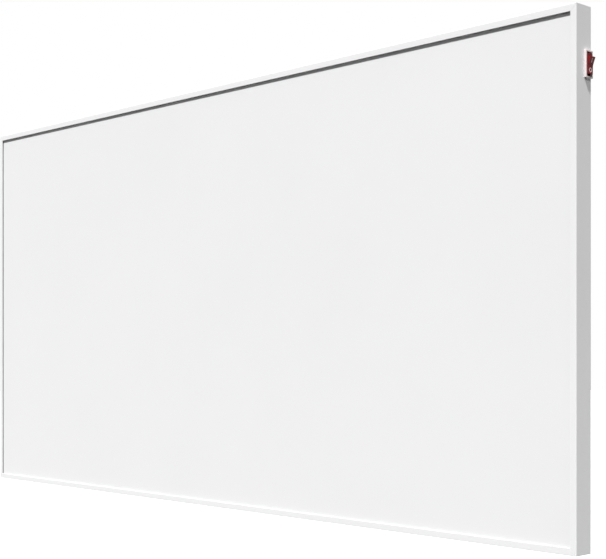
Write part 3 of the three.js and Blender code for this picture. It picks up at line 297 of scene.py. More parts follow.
def weld_points():
    """Makes one point of points that lie together in the open mesh, and selects all."""
    bpy.ops.mesh.select_all(action="SELECT")
    bpy.ops.mesh.remove_doubles(threshold=WELD)


def face_out():
    """Welds the open mesh and turns its faces outwards."""
    weld_points()
    bpy.ops.mesh.normals_make_consistent(inside=False)


def mend(piece):
    """Welds a piece and turns its faces outwards."""
    open_mesh(piece)
    face_out()
    close_mesh()


def new_piece(name):
    """Names the primitive that was just added."""
    piece = bpy.context.object
    piece.name = name
    piece.data.name = name
    return piece


def block(name, low, high):
    """A rectangular blank between two corners."""
    low, high = Vector(low), Vector(high)
    bpy.ops.object.select_all(action="DESELECT")
    bpy.ops.mesh.primitive_cube_add(size=1, location=(low + high) / 2)
    piece = new_piece(name)
    piece.scale = high - low
    return settle(piece)


def rod(name, radius, start, end, sides=48):
    """A round bar from one point to another."""
    start, end = Vector(start), Vector(end)
    bpy.ops.object.select_all(action="DESELECT")
    bpy.ops.mesh.primitive_cylinder_add(
        vertices=sides, radius=radius, depth=(end - start).length, location=(start + end) / 2,
        rotation=(end - start).to_track_quat("Z", "Y").to_euler(),
    )
    return settle(new_piece(name))


def turn(name, profile, sides=48, hollow=False):
    """Draws a ring along a profile of (radius, height) pairs about Z, as on a lathe."""
    radius, height = profile[0]
    bpy.ops.object.select_all(action="DESELECT")
    bpy.ops.mesh.primitive_circle_add(
        vertices=sides, radius=radius, location=(0, 0, height),
        fill_type="NOTHING" if hollow else "NGON",
    )
    piece = settle(new_piece(name))
    open_mesh(piece, "EDGE" if hollow else "FACE")
    bpy.ops.mesh.select_all(action="SELECT")
    for next_radius, next_height in profile[1:]:
        pull(0, 0, next_height - height)
        scale = next_radius / radius
        scale_picked((scale, scale, 1), (0, 0, next_height))
        radius, height = next_radius, next_height
    face_out()
    close_mesh()
    return piece


def settle(piece):
    """Puts a piece's place, turn and size into its mesh."""
    select_only(piece)
    bpy.ops.object.transform_apply(location=True, rotation=True, scale=True)
    return piece


def finish_with(piece, kind, **settings):
    """Adds a modifier and applies it."""
    select_only(piece)
    modifier = piece.modifiers.new(kind.lower(), kind)
    for key, value in settings.items():
        setattr(modifier, key, value)
    bpy.ops.object.modifier_apply(modifier=modifier.name)


def take_away(piece, *cutters):
    """Cuts the cutters out of a piece and throws them away."""
    combine(piece, "DIFFERENCE", cutters)


def weld_on(piece, *others):
    """Joins the others to a piece as one solid."""
    combine(piece, "UNION", others)


def combine(piece, operation, others):
    """Applies one boolean for each other piece, and deletes that piece."""
    for other in others:
        finish_with(piece, "BOOLEAN", operation=operation, object=other, solver="EXACT")
        bpy.data.objects.remove(other)


def soften(piece, width, segments=2, limit=35):
    """Rounds every edge of a piece that is sharper than a limit in degrees."""
    finish_with(
        piece, "BEVEL", width=width, segments=segments, limit_method="ANGLE",
        angle_limit=math.radians(limit), miter_outer="MITER_ARC", use_clamp_overlap=True,
    )


def shade(piece, limit=35):
    """Shades rounds smooth, and keeps sharp edges and large flat faces as they are."""
    select_only(piece)
    bpy.ops.object.shade_smooth_by_angle(angle=math.radians(limit))
    finish_with(piece, "WEIGHTED_NORMAL", mode="FACE_AREA", weight=100, keep_sharp=True)
    return piece


def copy_to(piece, name, move):
    """A copy of a piece with its own mesh, moved by a vector."""
    copy = piece.copy()
    copy.data = piece.data.copy()
    copy.name = name
    copy.data.name = name
    bpy.context.collection.objects.link(copy)
    copy.location = move
    return settle(copy)


def copy_node(node, name):
    """A welded copy of a CAD node, with its flat faces whole again."""
    piece = bpy.data.objects.new(name, frame["nodes"][node].data.copy())
    piece.data.name = name
    piece.data.materials.clear()
    bpy.context.collection.objects.link(piece)
    open_mesh(piece)
    weld_points()
    bpy.ops.mesh.dissolve_limited(angle_limit=math.radians(0.5))
    close_mesh()
    return piece


def box_of(node):
    """A node's lowest and highest corners, and its middle."""
    low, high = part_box(node)
    return low, high, (low + high) / 2


# ---------- shader nodes


class Tree:
    """Adds nodes to one node tree, with their settings and links given together."""

    def __init__(self, tree):
        self.tree = tree

    def add(self, kind, settings=None, **inputs):
        """A node; an input's name is its socket's, with underscores for spaces."""
        node = self.tree.nodes.new(kind)
        for key, value in (settings or {}).items():
            setattr(node, key, value)
        for key, value in inputs.items():
            self.feed(node.inputs[key.replace("_", " ")], value)
        return node

    def feed(self, socket, value):
        """Links a socket to an output, or sets its value."""
        if isinstance(value, bpy.types.NodeSocket):
            self.tree.links.new(value, socket)
        elif socket.type == "RGBA" and len(value) == 3:
            socket.default_value = (*value, 1.0)
        else:
            socket.default_value = value

    def noise(self, where, scale, detail=2.0, roughness=0.5, distortion=0.0):
        """Smooth noise from 0 to 1."""
        return self.add(
            "ShaderNodeTexNoise", Vector=where, Scale=scale, Detail=detail,
            Roughness=roughness, Distortion=distortion,
        ).outputs["Fac"]

    def cells(self, where, scale, feature="F1"):
        """A Voronoi node."""
        return self.add(
            "ShaderNodeTexVoronoi", {"feature": feature}, Vector=where, Scale=scale,
        )

    def spread(self, value, low, high, start=0.0, end=1.0):
        """Maps a value from its own range to another, and holds it there."""
        return self.add(
            "ShaderNodeMapRange", Value=value, From_Min=start, From_Max=end,
            To_Min=low, To_Max=high,
        ).outputs["Result"]

    def maths(self, operation, first, second=0.0):
        """One step of arithmetic."""
        node = self.add("ShaderNodeMath", {"operation": operation})
        self.feed(node.inputs[0], first)
        self.feed(node.inputs[1], second)
        return node.outputs["Value"]

    def stretch(self, where, scale):
        """Coordinates scaled by axis."""
        return self.add("ShaderNodeMapping", Vector=where, Scale=scale).outputs["Vector"]

    def mix(self, factor, first, second):
        """A colour between two others."""
        node = self.add("ShaderNodeMix", {"data_type": "RGBA"})
        by_name = {socket.identifier: socket for socket in node.inputs}
        self.feed(by_name["Factor_Float"], factor)
        self.feed(by_name["A_Color"], first)
        self.feed(by_name["B_Color"], second)
        return next(s for s in node.outputs if s.identifier == "Result_Color")

    def bump(self, height, distance):
        """A normal from a height, whose full swing is a distance in millimetres."""
        return self.add(
            "ShaderNodeBump", Height=height, Distance=distance * MM, Strength=1.0,
        ).outputs["Normal"]

    def use(self, group, **inputs):
        """Places a node group."""
        return self.add("ShaderNodeGroup", {"node_tree": group}, **inputs)


def blank_tree(owner):
    """The empty node tree of a material or a world."""
    owner.use_nodes = True
    owner.node_tree.nodes.clear()
    return Tree(owner.node_tree)


SOCKETS = {"value": "NodeSocketFloat", "colour": "NodeSocketColor", "vector": "NodeSocketVector"}
PLACE = {"Where": "vector", "Scale": "value"}
RELIEF = {"Height": "value", "Mask": "value"}


def group(name, inputs, outputs, build):
    """A shader node group, made once; build gets its tree and inputs and returns its outputs."""
    known = bpy.data.node_groups.get(name)
    if known:
        return known
    made = bpy.data.node_groups.new(name, "ShaderNodeTree")
    for label, kind in inputs.items():
        made.interface.new_socket(name=label, in_out="INPUT", socket_type=SOCKETS[kind])
    for label, kind in outputs.items():
        made.interface.new_socket(name=label, in_out="OUTPUT", socket_type=SOCKETS[kind])
    tree = Tree(made)
    source = tree.add("NodeGroupInput").outputs
    results = build(tree, source)
    sink = tree.add("NodeGroupOutput").inputs
    for label, value in results.items():
        tree.feed(sink[label], value)
    return made


def cloudy_tone():
    """Two close colours in soft clouds, as every real coating and moulding has."""
    def build(tree, source):
        clouds = tree.noise(source["Where"], source["Scale"], 3.0, 0.6)
        amount = tree.spread(clouds, 0.0, 1.0, 0.3, 0.7)
        return {"Color": tree.mix(amount, source["First"], source["Second"])}

    inputs = {**PLACE, "First": "colour", "Second": "colour"}
    return group("cloudy_tone", inputs, {"Color": "colour"}, build)


def coat_peel():
    """The shallow waves and fine pits of a baked powder coat."""
    def build(tree, source):
        waves = tree.noise(source["Where"], source["Scale"], 1.0, 0.4)
        finer = tree.maths("MULTIPLY", source["Scale"], 3.7)
        pits = tree.cells(source["Where"], finer, "SMOOTH_F1").outputs["Distance"]
        height = tree.maths("ADD", waves, tree.maths("MULTIPLY", pits, 0.35))
        return {"Height": height, "Mask": waves}

    return group("coat_peel", PLACE, RELIEF, build)


def mould_grain():
    """The spark-eroded grain of a moulding tool, with faint flow clouds."""
    def build(tree, source):
        grain = tree.noise(source["Where"], source["Scale"], 4.0, 0.65)
        coarse = tree.maths("MULTIPLY", source["Scale"], 0.02)
        flow = tree.noise(source["Where"], coarse, 2.0, 0.5, 0.6)
        halves = (tree.maths("MULTIPLY", part, 0.5) for part in (grain, flow))
        return {"Height": grain, "Mask": tree.maths("ADD", *halves)}

    return group("mould_grain", PLACE, RELIEF, build)


def drawn_lines():
    """Fine lines left by rolling or drawing metal; the stretch sets their direction."""
    def build(tree, source):
        lines = tree.noise(source["Where"], source["Scale"], 5.0, 0.7)
        marks = tree.spread(lines, 0.0, 1.0, 0.35, 0.65)
        return {"Height": lines, "Mask": marks}

    return group("drawn_lines", PLACE, RELIEF, build)


class Finish(Tree):
    """A material under way: a Principled shader with plain numbers on its own sockets."""

    def __init__(self, name, **constants):
        self.material = bpy.data.materials.new(name)
        self.material.use_nodes = True
        super().__init__(self.material.node_tree)
        self.shader = self.tree.nodes["Principled BSDF"]
        for key, value in constants.items():
            self.feed(self.shader.inputs[key.replace("_", " ")], value)
        self.where = self.add("ShaderNodeTexCoord").outputs["Object"]

    def tone(self, first, second, scale):
        """Lays clouds of two close colours."""
        clouds = self.use(cloudy_tone(), Where=self.where, Scale=scale, First=first, Second=second)
        return clouds.outputs["Color"]

    def done(self, colour=None, roughness=None, normal=None):
        """Feeds the shader what varies over the surface."""
        feeds = {"Base Color": colour, "Roughness": roughness, "Normal": normal}
        for key, value in feeds.items():
            if value is not None:
                self.feed(self.shader.inputs[key], value)
        return self.material

    def textured(self, relief, tone, scale, depth, rough, span=(0.0, 1.0), stretch=None):
        """A tone under a relief group, whose mask sets the gloss over a span of its values."""
        where = self.stretch(self.where, stretch) if stretch else self.where
        texture = self.use(relief, Where=where, Scale=scale).outputs
        return self.done(
            tone, self.spread(texture["Mask"], *rough, *span), self.bump(texture["Height"], depth),
        )


def shaded(base, factor):
    """A colour made lighter or darker."""
    return tuple(min(1.0, part * factor) for part in base)


# ---------- finishes


GRAIN_SPAN = (0.3, 0.7)  # the values of a mould grain's mask between which its gloss changes


def powder_coat(name, base, scale, depth, rough, opening=None):
    """Satin powder coat on metal; inside an opening's half width and height its colour is darkened,
    as painted shade on the lip's inner faces.
    """
    made = Finish(name, Specular_IOR_Level=0.35)
    tone = made.tone(base, shaded(base, 0.985), 6.0)
    if opening:
        place = made.add("ShaderNodeSeparateXYZ", Vector=made.where).outputs
        across, upright = (
            made.maths("LESS_THAN", made.maths("ABSOLUTE", place[axis]), reach)
            for axis, reach in zip("XZ", opening)
        )
        # painted shade on the lip's inner faces, in the recess round the plate
        painted_shade = shaded(base, bpy.context.scene.heater_colours.reveal)
        tone = made.mix(made.maths("MULTIPLY", across, upright), tone, painted_shade)
    return made.textured(coat_peel(), tone, scale, depth, rough)


def moulded(name, base, scale, depth, rough, **constants):
    """Moulded plastic or rubber."""
    made = Finish(name, **constants)
    tone = made.tone(base, shaded(base, 0.9), 90.0)
    return made.textured(mould_grain(), tone, scale, depth, rough, GRAIN_SPAN)


def two_shot_housing():
    """The switch's white bezel, moulded on a body that is near-black from the side face inwards;
    the near-black body is partly painted shade, standing in for the shadow inside the well.
    """
    colours = bpy.context.scene.heater_colours
    made = Finish("switch_housing")
    side_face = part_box("frame_right")[1].x
    seam = 0.3 * MM
    depth = made.add("ShaderNodeSeparateXYZ", Vector=made.where).outputs["X"]
    outside = made.spread(depth, 0.0, 1.0, side_face, side_face + seam)
    # the bezel's pink tint is partly painted red light bounced from the rocker
    white = made.tone(colours.bezel, shaded(colours.bezel, 0.93), 90.0)
    # painted shade in part: the near-black body also darkens the well round the rocker, where
    # shadow falls
    body_and_well_shade = made.tone(colours.housing, shaded(colours.housing, 0.8), 90.0)
    tone = made.mix(outside, body_and_well_shade, white)
    return made.textured(mould_grain(), tone, 3200.0, 0.008, (0.32, 0.45), GRAIN_SPAN)


def drawn_metal(name, base, stretch, scale, rough):
    """Bright metal with drawing lines along the axis that is stretched least."""
    made = Finish(name, Metallic=1.0)
    tone = made.tone(base, shaded(base, 0.86), 120.0)
    return made.textured(drawn_lines(), tone, scale, 0.01, rough, stretch=stretch)


def galvanised(name, base, scale):
    """Hot-dipped zinc: crystals of uneven grey and gloss, with rolling lines under them."""
    made = Finish(name, Metallic=0.92)
    warped = made.add("ShaderNodeVectorMath", {"operation": "MULTIPLY_ADD"})
    drift = made.add("ShaderNodeTexNoise", Vector=made.where, Scale=scale * 0.8, Detail=2.0)
    reach = [0.35 / scale] * 3
    for socket, value in zip(warped.inputs, (drift.outputs["Color"], reach, made.where)):
        made.feed(socket, value)
    crystals = made.cells(warped.outputs["Vector"], scale)
    crystal = made.add("ShaderNodeSeparateColor", Color=crystals.outputs["Color"]).outputs
    rolled = made.stretch(made.where, (0.04, 1.0, 1.0))
    lines = made.use(drawn_lines(), Where=rolled, Scale=scale * 14).outputs
    fern = made.maths(
        "ADD", made.maths("MULTIPLY", crystal["Red"], 0.75),
        made.maths("MULTIPLY", lines["Mask"], 0.25),
    )
    return made.done(
        made.mix(fern, shaded(base, 0.84), shaded(base, 1.06)),
        made.spread(crystal["Green"], 0.4, 0.5),
        made.bump(fern, 0.01),
    )


def cast_zinc():
    """Die-cast zinc, dull and slightly pitted."""
    made = Finish("cast_zinc", Metallic=0.8)
    tone = made.tone((0.36, 0.37, 0.38), (0.27, 0.28, 0.29), 60.0)
    return made.textured(mould_grain(), tone, 1500.0, 0.04, (0.45, 0.68), GRAIN_SPAN)


def glass_laminate():
    """Green glass-fibre laminate, with the weave just under its resin."""
    made = Finish("glass_laminate", Coat_Weight=0.3, Coat_Roughness=0.25)
    threads = (
        made.add(
            "ShaderNodeTexWave", {"bands_direction": axis}, Vector=made.where, Scale=260.0,
        ).outputs["Fac"]
        for axis in "XZ"
    )
    weave = made.maths("MULTIPLY", *threads)
    return made.done(
        made.mix(made.spread(weave, 0.1, 0.9), (0.035, 0.085, 0.03), (0.07, 0.15, 0.05)),
        made.spread(weave, 0.4, 0.55),
        made.bump(weave, 0.02),
    )


def crumpled_foil():
    """Aluminium foil that was smoothed out by hand."""
    made = Finish("reflector_foil", Metallic=1.0)
    creases = made.cells(made.where, 45.0, "DISTANCE_TO_EDGE").outputs["Distance"]
    folds = made.spread(creases, 0.0, 1.0, 0.0, 0.12)
    soft = made.noise(made.where, 25.0, 3.0, 0.6, 0.8)
    return made.done(
        made.tone((0.78, 0.79, 0.80), (0.70, 0.71, 0.73), 30.0),
        made.spread(soft, 0.16, 0.34),
        made.bump(made.maths("ADD", folds, soft), 0.25),
    )


def pressed_wool():
    """Pressed mineral wool: matted fibres, with darker specks of shot."""
    made = Finish("mineral_wool", Sheen_Weight=0.15)
    matted = made.stretch(made.where, (1.0, 1.0, 0.25))
    fibres = made.noise(matted, 900.0, 6.0, 0.75, 1.5)
    tufts = made.noise(made.where, 120.0, 4.0, 0.6)
    specks = made.cells(made.where, 420.0).outputs["Distance"]
    shot = made.spread(specks, 1.0, 0.0, 0.05, 0.12)
    pale = made.spread(fibres, 0.0, 1.0, 0.3, 0.7)
    wool = made.mix(pale, (0.40, 0.33, 0.17), (0.66, 0.58, 0.36))
    return made.done(
        made.mix(shot, wool, (0.20, 0.16, 0.09)),
        made.spread(fibres, 0.85, 1.0),
        made.bump(made.maths("ADD", fibres, tufts), 0.6),
    )


def clear_glass():
    """The glass of the small lamp."""
    made = Finish(
        "lamp_glass", Base_Color=(0.95, 0.85, 0.80), Transmission_Weight=1.0, IOR=1.5, Metallic=0.0,
    )
    ripple = made.noise(made.where, 300.0, 2.0)
    return made.done(roughness=made.spread(ripple, 0.03, 0.1))


def sleeved(name, base):
    """The satin silicone sleeve of a wire."""
    return moulded(name, base, scale=1800, depth=0.015, rough=(0.38, 0.55))


def lip_opening():
    """Half the width and height of the opening in the frame's lip, with the faces round it, inside
    which the frame's coat is darkened as painted shade.
    """
    lip = bpy.context.scene.heater_sizes.lip_width - SKIN
    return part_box("frame_right")[1].x - lip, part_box("frame_top")[1].z - lip


def finish_library():
    """Every finish of the heater by its plain name, with the depth of its relief in millimetres."""
    colours = bpy.context.scene.heater_colours
    zinc = colours.zinc
    return {
        "frame": lambda: powder_coat(
            "frame_white", colours.frame, scale=850, depth=0.018, rough=(0.38, 0.5),
            opening=lip_opening()),
        "plate": lambda: powder_coat(
            "plate_white", colours.plate, scale=1500, depth=0.02, rough=(0.5, 0.62)),
        # partly painted shade: the dark gasket deepens the shade line in the recess behind the lip
        "gasket": lambda: moulded(
            "gasket_silicone", colours.gasket, scale=2400, depth=0.02, rough=(0.6, 0.8)),
        "zinc sheet": lambda: galvanised("zinc_sheet", zinc, scale=150),
        "bracket zinc": lambda: galvanised("bracket_zinc", shaded(zinc, 1.08), scale=260),
        "bright zinc": lambda: drawn_metal(
            "bright_zinc", shaded(zinc, 1.1), (1.0, 0.15, 1.0), scale=2600, rough=(0.22, 0.38)),
        "cast zinc": cast_zinc,
        "laminate": glass_laminate,
        "copper": lambda: drawn_metal(
            "copper", (0.62, 0.30, 0.18), (1.0, 1.0, 0.03), scale=1500, rough=(0.25, 0.42)),
        "foil": crumpled_foil,
        "wool": pressed_wool,
        "black": lambda: moulded(
            "black_moulding", colours.black, scale=2600, depth=0.03, rough=(0.42, 0.6)),
        "grey": lambda: moulded(
            "grey_moulding", (0.27, 0.27, 0.28), scale=2200, depth=0.02, rough=(0.4, 0.55)),
        "housing": two_shot_housing,
        "red": lambda: moulded(
            "red_rocker", colours.rocker, scale=2600, depth=0.006, rough=(0.3, 0.42),
            Specular_IOR_Level=0.1, Subsurface_Weight=0.35, Subsurface_Scale=1.0,
            Subsurface_Radius=(0.004, 0.0005, 0.0005)),
        "mark": lambda: moulded(
            "mark_paint", colours.mark, scale=4200, depth=0.01, rough=(0.45, 0.6)),
        "rubber": lambda: moulded(
            "black_rubber", (0.014, 0.014, 0.014), scale=1900, depth=0.04, rough=(0.7, 0.9)),
        "brass": lambda: drawn_metal(
            "brass", (0.66, 0.46, 0.18), (0.08, 1.0, 1.0), scale=2200, rough=(0.22, 0.38)),
        "spring": lambda: drawn_metal(
            "spring_steel", (0.55, 0.56, 0.58), (0.2, 1.0, 1.0), scale=3600, rough=(0.2, 0.34)),
        "glass": clear_glass,
        "brown wire": lambda: sleeved("brown_sleeve", (0.105, 0.045, 0.018)),
        "blue wire": lambda: sleeved("blue_sleeve", (0.022, 0.11, 0.36)),
        "green wire": lambda: sleeved("green_sleeve", (0.16, 0.34, 0.035)),
    }


MADE = {}


def finish(name):
    """A finish by its plain name, made when it is first asked for."""
    if name not in MADE:
        MADE[name] = finish_library()[name]()
    return MADE[name]


def dress(piece, name, body=CASING, nodes=()):
    """Gives a finished piece its finish and its body, and hides the CAD nodes that it stands for.
    """
    piece.data.materials.clear()
    piece.data.materials.append(finish(name))
    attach(piece, body)
    if nodes:
        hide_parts(*nodes)


def coat(name, *nodes):
    """Gives CAD nodes a finish and leaves their meshes as they are."""
    material = finish(name)
    for node in nodes:
        data = frame["nodes"][node].data
        if not data.materials:
            data.materials.append(material)
        for slot in frame["nodes"][node].material_slots:
            slot.material = material


# ---------- frame, plate and layers


class HEATER_OT_frame(bpy.types.Operator):
    """Rounds the inner edge of the lip of the four mitred rails, and coats them"""

    bl_idname = "heater.frame"
    bl_label = "Frame rails"

    def execute(self, context):
        sizes = context.scene.heater_sizes
        low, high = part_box("frame_top")
        lip_back = low.y + sizes.lip_depth
        outer, least_run = 1 * MM, 100 * MM
        right, top = high.x - outer, high.z - outer

        def on_lip(co):
            return co.y < lip_back and abs(co.x) < right and abs(co.z) < top

        def along_rail(edge):
            run = edge.verts[0].co - edge.verts[1].co
            return run.length > least_run and abs(run.y) < run.length / 2

        for side in SIDES:
            node = f"frame_{side}"
            rail = copy_node(node, f"{side}_rail")
            open_mesh(rail, "EDGE")
            pick("edges", lambda edge: along_rail(edge) and every_end(edge, on_lip))
            round_picked(sizes.lip_edge, 3)
            close_mesh()
            dress(shade(rail), "frame", nodes=(node,))
        return {"FINISHED"}


class HEATER_OT_plate(bpy.types.Operator):
    """Coats the radiating plate and finishes the gaskets round it"""

    bl_idname = "heater.plate"
    bl_label = "Front plate and gaskets"

    def execute(self, context):
        coat("plate", "front_plate")
        coat("gasket", *(f"edge_gasket_{side}" for side in SIDES))
        return {"FINISHED"}


class HEATER_OT_layers(bpy.types.Operator):
    """Finishes the corner keys and the layers behind the plate"""

    bl_idname = "heater.layers"
    bl_label = "Heating layers"

    def execute(self, context):
        coat("cast zinc", *(f"corner_key_{corner}" for corner in CORNERS))
        coat("laminate", "heating_board")
        coat("copper", "busbar_left", "busbar_right")
        coat("foil", "reflector_foil")
        coat("wool", "insulation_board")
        return {"FINISHED"}


# ---------- screws and back plate


def cross_recess(head, height):
    """The cutters of a cross recess: two blades that taper down to its floor."""
    reach, half, floor = head * 0.56, head * 0.13, height * 0.35
    blades = []
    for name, x, y in (("blade_x", reach, half), ("blade_y", half, reach)):
        blade = block(name, (-x, -y, floor), (x, y, height + MM))
        open_mesh(blade)
        pick("faces", lambda face: face.normal.z < -0.9)
        scale_picked((0.5, 0.5, 1), (0, 0, floor))
        close_mesh()
        blades.append(blade)
    return blades


def pan_head_screw(name, head, height, shank, reach):
    """A screw along Y, its seat at the origin, with a cross recess in its pan head."""
    dome = ((1, 0), (1, 0.35), (0.95, 0.62), (0.8, 0.84), (0.55, 0.96), (0.25, 1))
    screw = turn(name, [
        (shank * 0.3, -reach), (shank, -reach + shank), (shank, 0),
        *((head * across, height * up) for across, up in dome),
    ])
    take_away(screw, *cross_recess(head, height))
    soften(screw, head * 0.03, 2, 50)
    shade(screw, 40)
    screw.rotation_euler = (-math.pi / 2, 0, 0)
    return settle(screw)


def set_screws(names, height, shank):
    """Fine screws in place of CAD screws of one size; names gives each node's new piece."""
    low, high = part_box(next(iter(names)))
    head, reach = (high.x - low.x) / 2, high.y - low.y - height
    model = pan_head_screw("screw", head, height, shank, reach)
    for node, name in names.items():
        _low, high, middle = box_of(node)
        screw = copy_to(model, name, (middle.x, high.y - height, middle.z))
        dress(screw, "bright zinc", nodes=(node,))
    bpy.data.objects.remove(model)


def rim_places(sizes):
    """Where the rim screws stand, as x and z."""
    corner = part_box("frame_top")[1]
    edge_x, edge_z = corner.x - sizes.rim_screw_inset, corner.z - sizes.rim_screw_inset
    reach_x, reach_z = corner.x - sizes.rim_screw_end, corner.z - sizes.rim_screw_end
    along, upright = sizes.rim_screws_long, sizes.rim_screws_short
    for side in (-1, 1):
        for i in range(along):
            yield -reach_x + 2 * reach_x * i / (along - 1), side * edge_z
    for side in (-1, 1):
        for i in range(upright):
            yield side * edge_x, -reach_z + 2 * reach_z * (i + 0.5) / upright


class HEATER_OT_back(bpy.types.Operator):
    """Finishes the back plate and sets the small screws round its edge"""

    bl_idname = "heater.back"
    bl_label = "Back plate and rim screws"

    def execute(self, context):
        sizes = context.scene.heater_sizes
        coat("zinc sheet", "back_plate")
        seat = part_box("back_plate")[1].y + sizes.rim_screw_seat
        model = pan_head_screw(
            "rim_screw", sizes.rim_screw_head, sizes.rim_screw_rise, sizes.rim_screw_shank,
            sizes.rim_screw_length,
        )
        for number, (x, z) in enumerate(rim_places(sizes), 1):
            screw = copy_to(model, f"rim_screw_{number:02d}", (x, seat, z))
            dress(screw, "bright zinc")
        bpy.data.objects.remove(model)
        return {"FINISHED"}


# ---------- wall brackets


def bend_sheet(sizes, low, high, x, web):
    """Foot, web and flange of one strip, folded, rounded and given its thickness."""
    half = sizes.sheet / 2
    bpy.ops.object.select_all(action="DESELECT")
    foot_y, flange_y, web_z = low.y + half, high.y - half, web + half
    bpy.ops.mesh.primitive_plane_add(size=1, location=(x, (foot_y + flange_y) / 2, web_z))
    strip = new_piece("bracket")
    strip.scale = (high.x - low.x, flange_y - foot_y, 1)
    settle(strip)
    open_mesh(strip, "EDGE")
    pick_edges(lambda co: co.y < foot_y + NEAR)
    pull(0, 0, low.z - web_z)
    pick_edges(lambda co: co.y > flange_y - NEAR)
    pull(0, 0, high.z - web_z)
    pick("verts", lambda vert: abs(vert.co.z - web_z) > sizes.web_rise / 2)
    round_picked(sizes.bracket_corner, 6, "VERTICES")
    pick("edges", lambda edge: every_end(edge, lambda co: abs(co.z - web_z) < HAIR)
         and abs(edge.verts[0].co.y - edge.verts[1].co.y) < HAIR)
    round_picked(sizes.bend + half, 8)
    close_mesh()
    finish_with(strip, "SOLIDIFY", thickness=sizes.sheet, offset=0.0, use_even_offset=True)
    mend(strip)
    return strip


def cut_keyhole(strip, sizes, x, web):
    """Wide end, slot and round top of the keyhole."""
    front, back = -4 * MM, 1 * MM
    wide = web + sizes.keyhole_rise
    top = wide + sizes.keyhole_travel
    half = sizes.keyhole_slot / 2
    entry = rod("entry", sizes.keyhole_radius, (x, front, wide), (x, back, wide), 64)
    slot = block("slot", (x - half, front, wide), (x + half, back, top))
    end = rod("slot_end", half, (x, front, top), (x, back, top), 48)
    take_away(strip, entry, slot, end)


class HEATER_OT_brackets(bpy.types.Operator):
    """Bends a wall bracket from sheet, cuts its keyhole and sets all four with their screws"""

    bl_idname = "heater.brackets"
    bl_label = "Wall brackets"

    def execute(self, context):
        sizes = context.scene.heater_sizes
        low, high, middle = box_of("wall_bracket_top_left")
        _low, _high, screw = box_of("bracket_screw_top_left_a")
        web = low.z + sizes.web_rise
        model = bend_sheet(sizes, low, high, middle.x, web)
        cut_keyhole(model, sizes, middle.x, web)
        front, back = low.y - MM, low.y + 4 * MM
        for side in (-1, 1):
            x = middle.x + side * abs(screw.x - middle.x)
            hole = rod("hole", sizes.bracket_hole, (x, front, screw.z), (x, back, screw.z))
            take_away(model, hole)
        soften(model, sizes.sheet_edge, 2, 50)
        shade(model, 40)
        for corner in CORNERS:
            node = f"wall_bracket_{corner}"
            bracket = copy_to(model, f"bracket_{corner}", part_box(node)[0] - low)
            dress(bracket, "bracket zinc", nodes=(node,))
        bpy.data.objects.remove(model)
        ends = [f"{corner}_{end}" for corner in CORNERS for end in "ab"]
        names = {f"bracket_screw_{end}": f"foot_screw_{end}" for end in ends}
        set_screws(names, sizes.foot_screw_rise, sizes.foot_screw_shank)
        return {"FINISHED"}


# ---------- cable box and wiring


class HEATER_OT_cable_box(bpy.types.Operator):
    """Softens the cable box, its lid and the cable gland, and sets the lid's screws"""

    bl_idname = "heater.cable_box"
    bl_label = "Cable box and gland"

    def execute(self, context):
        sizes = context.scene.heater_sizes
        for node, name in (("cable_box", "box_shell"), ("cable_box_lid", "box_cover")):
            piece = copy_node(node, name)
            soften(piece, sizes.moulded_edge, 3, 60)
            dress(shade(piece), "black", nodes=(node,))
        for node in ("gland_body", "gland_nut", "gland_locknut"):
            piece = copy_node(node, f"{node}_moulding")
            soften(piece, sizes.gland_edge, 2, 40)
            dress(shade(piece, 30), "black", nodes=(node,))
        names = {f"lid_screw_{end}": f"cover_screw_{end}" for end in ("upper", "lower")}
        set_screws(names, sizes.lid_screw_rise, sizes.lid_screw_shank)
        coat("rubber", "gland_seal", "wire_grommet")
        coat("grey", "terminal_block")
        return {"FINISHED"}


class HEATER_OT_wiring(bpy.types.Operator):
    """Finishes the wires, the earth screw and the thermal cut-outs"""

    bl_idname = "heater.wiring"
    bl_label = "Wiring"

    def execute(self, context):
        live = ("wire_live_in", "wire_switched_live", "wire_cutout_link", "wire_board_feed")
        coat("brown wire", *live)
        coat("blue wire", "wire_lamp_neutral", "wire_neutral")
        coat("green wire", "wire_earth")
        coat("brass", "earth_screw")
        coat("black", "thermal_cutout_upper", "thermal_cutout_lower")
        return {"FINISHED"}


# ---------- rocker switch


class HEATER_OT_switch_housing(bpy.types.Operator):
    """Softens the rim of the bezel and finishes what is inside the switch"""

    bl_idname = "heater.switch_housing"
    bl_label = "Switch housing"

    def execute(self, context):
        sizes = context.scene.heater_sizes
        _low, high, middle = box_of("switch_housing")
        shell = copy_node("switch_housing", "switch_bezel")
        rim = high.x - SKIN

        def at_mouth(co):
            across, up = abs(co.y - middle.y), abs(co.z - middle.z)
            return across < sizes.mouth_width / 2 and up < sizes.mouth_height / 2

        open_mesh(shell, "EDGE")
        pick_edges(lambda co: co.x > rim and not at_mouth(co))
        round_picked(sizes.bezel_edge, 4)
        pick_edges(lambda co: co.x > rim and at_mouth(co))
        round_picked(sizes.well_edge, 3)
        close_mesh()
        dress(shade(shell, 30), "housing", nodes=("switch_housing",))
        coat("brass", *(f"switch_terminal_{name}" for name in ("lamp", "supply", "load")))
        coat("glass", "neon_lamp")
        coat("copper", "contact_lever")
        coat("black", "rocker_plunger")
        coat("spring", "rocker_spring")
        return {"FINISHED"}


def rocker_place(sizes):
    """The pivot, and the turn of a rocker that is off."""
    _low, _high, housing = box_of("switch_housing")
    side_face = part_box("frame_right")[1].x
    pivot = Vector((side_face - sizes.pivot_reach, housing.y, housing.z))
    return Matrix.Translation(pivot) @ Matrix.Rotation(sizes.rocker_tilt, 4, "Y")


